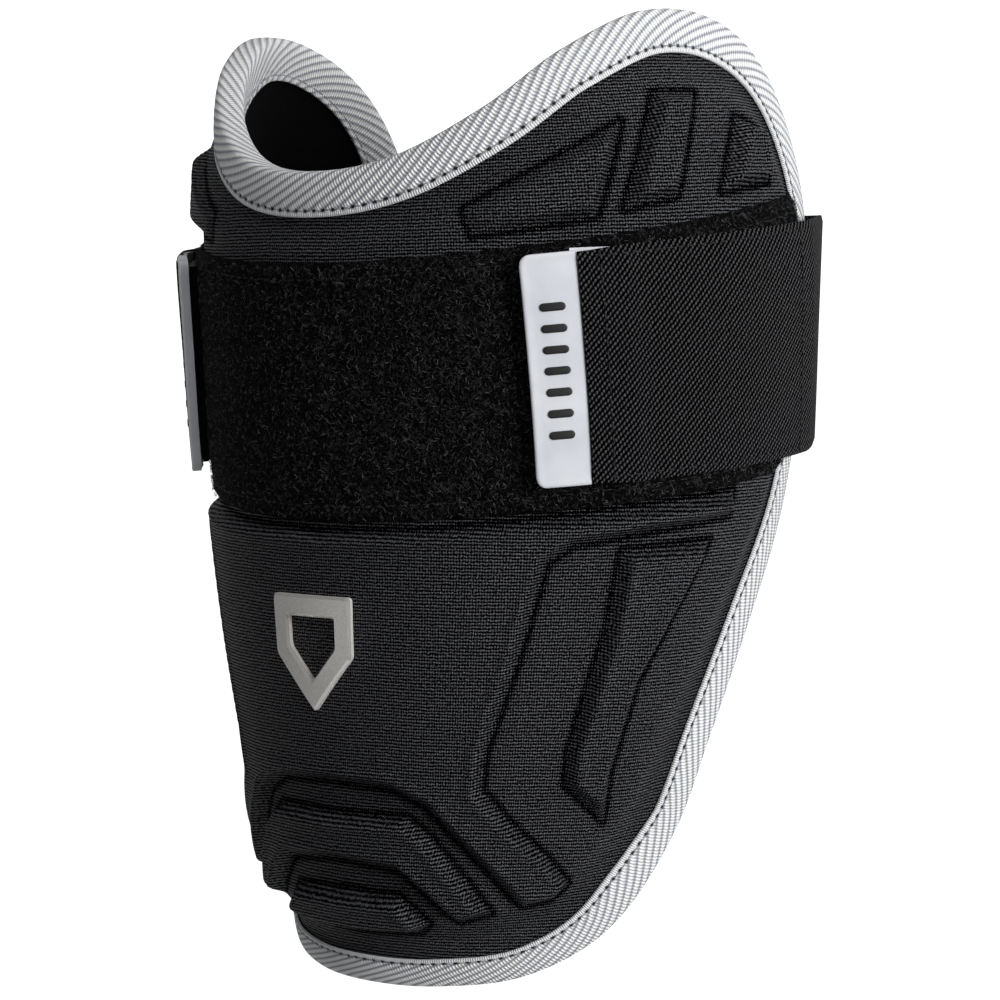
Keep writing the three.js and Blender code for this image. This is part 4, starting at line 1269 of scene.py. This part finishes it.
def tab_mesh(name, side):
    along, across, top = tab_grid()
    high = on_strap(TAB_START + along, across, TAB_LOW + top)
    low = on_strap(TAB_START + along, across, np.full(along.shape, TAB_LOW))
    flat = np.stack([along, across], axis=-1)
    flange_along = np.linspace(TAB_LENGTH - CLEARANCE - 1, TAB_LENGTH - CLEARANCE + FLANGE_LENGTH, 8)
    fa, share = np.meshgrid(flange_along, np.linspace(0, 1, 14), indexing="ij")
    foot = -TAB_HEIGHT / 2 + FLANGE_INSET
    head = STRAP_WIDTH / 2 + FLANGE_OVER - FLANGE_TAPER * (fa - flange_along[0])
    fc = foot + (head - foot) * share
    flange_high = on_strap(TAB_START + fa, fc, np.full(fa.shape, TAB_LOW + 0.78))
    flange_low = on_strap(TAB_START + fa, fc, np.full(fa.shape, TAB_LOW + 0.02))
    points = np.concatenate([grid.reshape(-1, 3) for grid in (high, low, flange_high, flange_low)])
    layout = np.concatenate([flat.reshape(-1, 2)] * 2 + [np.stack([fa, fc], -1).reshape(-1, 2)] * 2)
    faces = slab_faces(*along.shape) + slab_faces(*fa.shape, start=2 * along.size)
    return one_side(name, points, faces, layout, RUBBER, side, crease=40)


near_tab = tab_mesh("near_tab", 1)
far_tab = tab_mesh("far_tab", -1)


# %% [markdown]
# Seven plain black ribs stand in the middle of each tab, for a thumb to grip. One rib is a small rounded bar.
# A row of them is made flat by Geometry Nodes and then bent onto the tab in the same way as the tab itself.


# %% Grip ribs
def row_tree():
    inputs = {"Rib": "Geometry", "Count": "Int", "Step": "Vector", "Material": "Material"}
    tree, given = open_tree("row_of_ribs", inputs, "Row")
    line = add(tree, "GeometryNodeMeshLine", {"Count": given["Count"], "Offset": given["Step"]})
    placed = add(tree, "GeometryNodeInstanceOnPoints", {"Points": line, "Instance": given["Rib"]})
    return close_tree(tree, placed, given["Material"])


RIB_COUNT = 7
RIB_PITCH = 4.4
RIB_LENGTH = 5.2
RIB_WIDTH = 1.7
RIB_RISE = 0.35
ROW = row_tree()


def one_rib():
    """A bar with round ends, from its foot at zero to its crown, in millimetres."""
    rings = []
    for inset, rise in ((0.0, -0.15), (0.0, RIB_RISE * 0.55), (0.12, RIB_RISE * 0.9), (0.35, RIB_RISE)):
        radius = RIB_WIDTH / 2 - inset
        reach = RIB_LENGTH / 2 - RIB_WIDTH / 2
        ring = []
        for end in (1, -1):
            for step in range(9):
                angle = -math.pi / 2 + math.pi * step / 8
                ring.append((end * (reach + radius * math.cos(angle)), end * radius * math.sin(angle), rise))
        rings.append(ring)
    count = len(rings[0])
    points = np.array([spot for ring in rings for spot in ring])
    faces = []
    for level in range(len(rings) - 1):
        for k in range(count):
            nxt = (k + 1) % count
            faces.append((level * count + k, level * count + nxt, (level + 1) * count + nxt,
                          (level + 1) * count + k))
    top = (len(rings) - 1) * count
    faces += [tuple(range(top, top + count)), tuple(range(count))[::-1]]
    return points, faces


def grip_ribs(name, side):
    points, faces = one_rib()
    source = plain_object(name + "_rib", points.tolist(), [], faces)
    ribs = run_tree(name, source, ROW, {"Count": RIB_COUNT, "Step": (0.0, RIB_PITCH, 0.0), "Material": GRIP})
    flat = np.empty(len(ribs.data.vertices) * 3)
    ribs.data.vertices.foreach_get("co", flat)
    flat = flat.reshape(-1, 3)
    across = flat[:, 1] - RIB_PITCH * (RIB_COUNT - 1) / 2
    face_level = TAB_LOW + TAB_THICKNESS - TAB_LIP
    bent = on_strap(TAB_START + TAB_LENGTH * 0.5 + flat[:, 0], across, face_level + flat[:, 2])
    bent = bent * np.array([side, 1, 1])
    ribs.data.vertices.foreach_set("co", on_table(bent).astype(np.float32).ravel())
    if side < 0:
        ribs.data.flip_normals()
    ribs.data.update()
    return ribs


near_ribs = grip_ribs("near_grip_ribs", 1)
far_ribs = grip_ribs("far_grip_ribs", -1)


# %% Hook patches under the strap's ends
def hook_mesh(name, side):
    along, across = np.meshgrid(np.linspace(HOOK_START, HOOK_START + HOOK_LENGTH, 46),
                                np.linspace(-HOOK_WIDTH / 2, HOOK_WIDTH / 2, 26), indexing="ij")
    points = np.concatenate([on_strap(along, across, np.full(along.shape, level)).reshape(-1, 3)
                             for level in (HOOK_TOP, HOOK_LOW)])
    flat = np.concatenate([np.stack([along, across], -1).reshape(-1, 2)] * 2)
    faces = slab_faces(*along.shape)
    return one_side(name, points, faces, flat, HOOK, side)


near_hooks = hook_mesh("near_hooks", 1)
far_hooks = hook_mesh("far_hooks", -1)

# %% [markdown]
# ## The badge
# The badge is a plain moulded ring in the outline of a home plate. Its walls are drawn as loops of equal
# count, one inside the other, so the faces between them are a strip: foot, shoulder, bright bevel and satin
# face.

# %% Badge sizes and loops
BADGE_WIDTH = 23.0
BADGE_HEIGHT = 25.0
BADGE_RIM = 4.6
BADGE_BEVEL = 0.55
BADGE_THICKNESS = 1.15
BADGE_SHOULDER = 0.52
BADGE_SUNK = 0.25
BADGE_UP = 0.352
BADGE_LOW = PAD_TOP + RELIEF + CLEARANCE


def rounded_loop(inset, per_side=8, corner=0.9):
    tall = BADGE_HEIGHT
    wide = BADGE_WIDTH
    shoulder = tall * BADGE_SHOULDER
    corners = np.array([[-wide / 2, tall / 2], [-wide / 2, tall / 2 - shoulder], [0, -tall / 2],
                        [wide / 2, tall / 2 - shoulder], [wide / 2, tall / 2]])
    before = np.roll(corners, 1, axis=0)
    after = np.roll(corners, -1, axis=0)
    arriving = (corners - before) / np.linalg.norm(corners - before, axis=1, keepdims=True)
    leaving = (after - corners) / np.linalg.norm(after - corners, axis=1, keepdims=True)
    bisector = arriving + leaving
    bisector /= np.linalg.norm(bisector, axis=1, keepdims=True)
    inward = np.stack([-bisector[:, 1], bisector[:, 0]], axis=1)
    moved = corners + inward * (inset / (arriving * bisector).sum(1))[:, None]
    loop = []
    for k, spot in enumerate(moved):
        back = spot - arriving[k] * corner
        ahead = spot + leaving[k] * corner
        for share in (0, 0.25, 0.5, 0.75, 1):
            loop.append(back * (1 - share) ** 2 + 2 * spot * share * (1 - share) + ahead * share ** 2)
        end = moved[(k + 1) % 5] - arriving[(k + 1) % 5] * corner
        loop += [ahead + (end - ahead) * step / per_side for step in range(1, per_side)]
    return np.array(loop)


def badge_mesh():
    top = BADGE_THICKNESS
    levels = [(0.0, -BADGE_SUNK), (0.0, top - BADGE_BEVEL), (BADGE_BEVEL, top),
              (BADGE_RIM - BADGE_BEVEL, top), (BADGE_RIM, top - BADGE_BEVEL), (BADGE_RIM, -BADGE_SUNK)]
    flat = [rounded_loop(inset) for inset, rise in levels]
    count = len(flat[0])
    width_here = section_at(np.array(BADGE_UP))[1] * HALF_WIDTH
    arc = HALF_WRAP * (width_here + BADGE_LOW)
    points = [place(loop[:, 0] / arc, BADGE_UP + loop[:, 1] / HEIGHT, BADGE_LOW + rise)
              for loop, (inset, rise) in zip(flat, levels)]
    faces = []
    slots = []
    for level in range(len(levels)):
        nxt_level = (level + 1) % len(levels)
        for k in range(count):
            nxt = (k + 1) % count
            faces.append((level * count + k, level * count + nxt, nxt_level * count + nxt,
                          nxt_level * count + k))
            slots.append(1 if level in (1, 3) else 0)
    return make_piece("home_plate_badge", on_table(np.concatenate(points)), faces,
                      np.concatenate(flat), [SATIN, POLISHED], slots, crease=20)


badge = badge_mesh()

# %% [markdown]
# ## Hang the pieces on the frame
# Every piece rides on the one body. The ten first ones stand for a CAD solid each, which is hidden, and the
# others are extra. Only the cover is soft.

# %% Riding and replacing
STAND_INS = {
    "padded_shell": (cover, "stretch_knit"),
    "inner_lining": (lining, "lining_knit"),
    "edge_binding": (tape, "rim_tape"),
    "loop_band": (band, "loop_pile"),
    "elastic_strap": (strap, "woven_elastic"),
    "near_pull_tab": (near_tab, "grey_rubber"),
    "far_pull_tab": (far_tab, "grey_rubber"),
    "near_hook_patch": (near_hooks, "hook_tape"),
    "far_hook_patch": (far_hooks, "hook_tape"),
    "badge": (badge, "badge_metal"),
}
EXTRAS = {
    tape_stitches: "rim_tape",
    pile: "loop_pile",
    band_stitches: "loop_pile",
    strap_stitches: "woven_elastic",
    near_ribs: "grey_rubber",
    far_ribs: "grey_rubber",
}
for node, (item, finish) in STAND_INS.items():
    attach(item, "root")
    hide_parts(node)
for item, finish in EXTRAS.items():
    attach(item, "root")
print("pieces:", len(STAND_INS) + len(EXTRAS))

# %% [markdown]
# ## Floor, light and camera
# The picture is taken square to the worn guard's front left, from a little above, so on the table the camera
# looks down at a slant, and the guard's height runs up the picture. A soft light from the front right shows
# the weave, one far to the right runs along the crests of the panels, and two weak ones fill in from the top
# and the left. The pale floor is bright where the camera sees it and dim elsewhere, so that it fills the
# background without washing the black cloth out.


# %% Floor
FLOOR_REACH = 4.0
FLOOR_GLOW = 0.05
FLOOR_GLOW_SEEN = 0.85


def make_floor():
    corners = [(x * FLOOR_REACH, y * FLOOR_REACH, 0) for x, y in ((-1, -1), (1, -1), (1, 1), (-1, 1))]
    material, tree = start_material("pale_floor")
    ray = add(tree, "ShaderNodeLightPath").outputs["Is Camera Ray"]
    glow = add(tree, "MULTIPLY_ADD", ray, FLOOR_GLOW_SEEN, FLOOR_GLOW)
    shader = add(tree, "ShaderNodeBsdfPrincipled", {
        "Emission Strength": glow, "Base Color": linear("#fbfbfb"), "Roughness": 0.9,
        "Specular IOR Level": 0.1, "Emission Color": linear("#ffffff")})
    add(tree, "ShaderNodeOutputMaterial", shader)
    item = plain_object("floor", corners, [], [(0, 1, 2, 3)])
    item.data.materials.append(material)
    return item


make_floor()

# %% Camera
VIEW_AROUND = math.radians(43)
VIEW_UP = math.radians(4.5)
VIEW_ROLL = math.radians(1.2)
VIEW_DISTANCE = 0.803
VIEW_TARGET = Vector(on_table(np.array([0.0, 0.0, 100.4])))
WIDTH_AT_TARGET = 0.2256
SENSOR = 36.0

to_camera = TURN @ np.array([math.sin(VIEW_AROUND) * math.cos(VIEW_UP),
                             -math.cos(VIEW_AROUND) * math.cos(VIEW_UP), math.sin(VIEW_UP)])
right = TURN @ np.array([math.cos(VIEW_AROUND), math.sin(VIEW_AROUND), 0])
straight_up = np.cross(to_camera, right)
rolled_right = right * math.cos(VIEW_ROLL) - straight_up * math.sin(VIEW_ROLL)
rolled_up = right * math.sin(VIEW_ROLL) + straight_up * math.cos(VIEW_ROLL)
lens = bpy.data.cameras.new("camera")
lens.sensor_width = SENSOR
lens.lens = SENSOR * VIEW_DISTANCE / WIDTH_AT_TARGET
camera = put_in_scene("camera", lens)
axes = Matrix((rolled_right, rolled_up, to_camera)).transposed().to_4x4()
camera.matrix_world = Matrix.Translation(VIEW_TARGET + Vector(to_camera) * VIEW_DISTANCE) @ axes
bpy.context.scene.camera = camera
print("camera:", [round(value, 3) for value in camera.matrix_world.translation], "lens:", round(lens.lens, 1))


# %% Lights
# Name, direction from the guard (right, up and forward, as the camera sees it), distance, size and power
LIGHTS = [
    ("front", (0.7, 0.15, 0.9), 1.2, 0.5, 12.0),
    ("right", (1.0, 0.0, 0.06), 1.0, 0.4, 10.0),
    ("top", (-0.1, 1.0, 0.4), 1.2, 0.6, 3.0),
    ("left", (-1.0, 0.1, 0.8), 1.2, 0.6, 1.6),
]
WORLD_STRENGTH = 0.12


def soft_light(name, direction, distance, size, power):
    lamp = bpy.data.lights.new(name, "AREA")
    lamp.shape = "DISK"
    lamp.size = size
    lamp.energy = power
    sideways, upward, forward = direction
    way = Vector(rolled_right * sideways + rolled_up * upward + to_camera * forward).normalized()
    item = put_in_scene(name, lamp)
    item.location = VIEW_TARGET + way * distance
    item.rotation_euler = way.to_track_quat("Z", "Y").to_euler()


for light in LIGHTS:
    soft_light(*light)
world = bpy.data.worlds.new("studio")
world.use_nodes = True
world.node_tree.nodes["Background"].inputs[0].default_value = linear("#f7f8fa")
world.node_tree.nodes["Background"].inputs[1].default_value = WORLD_STRENGTH
bpy.context.scene.world = world
print("lights:", [light[0] for light in LIGHTS])
bpy.context.scene.view_settings.view_transform = "Standard"
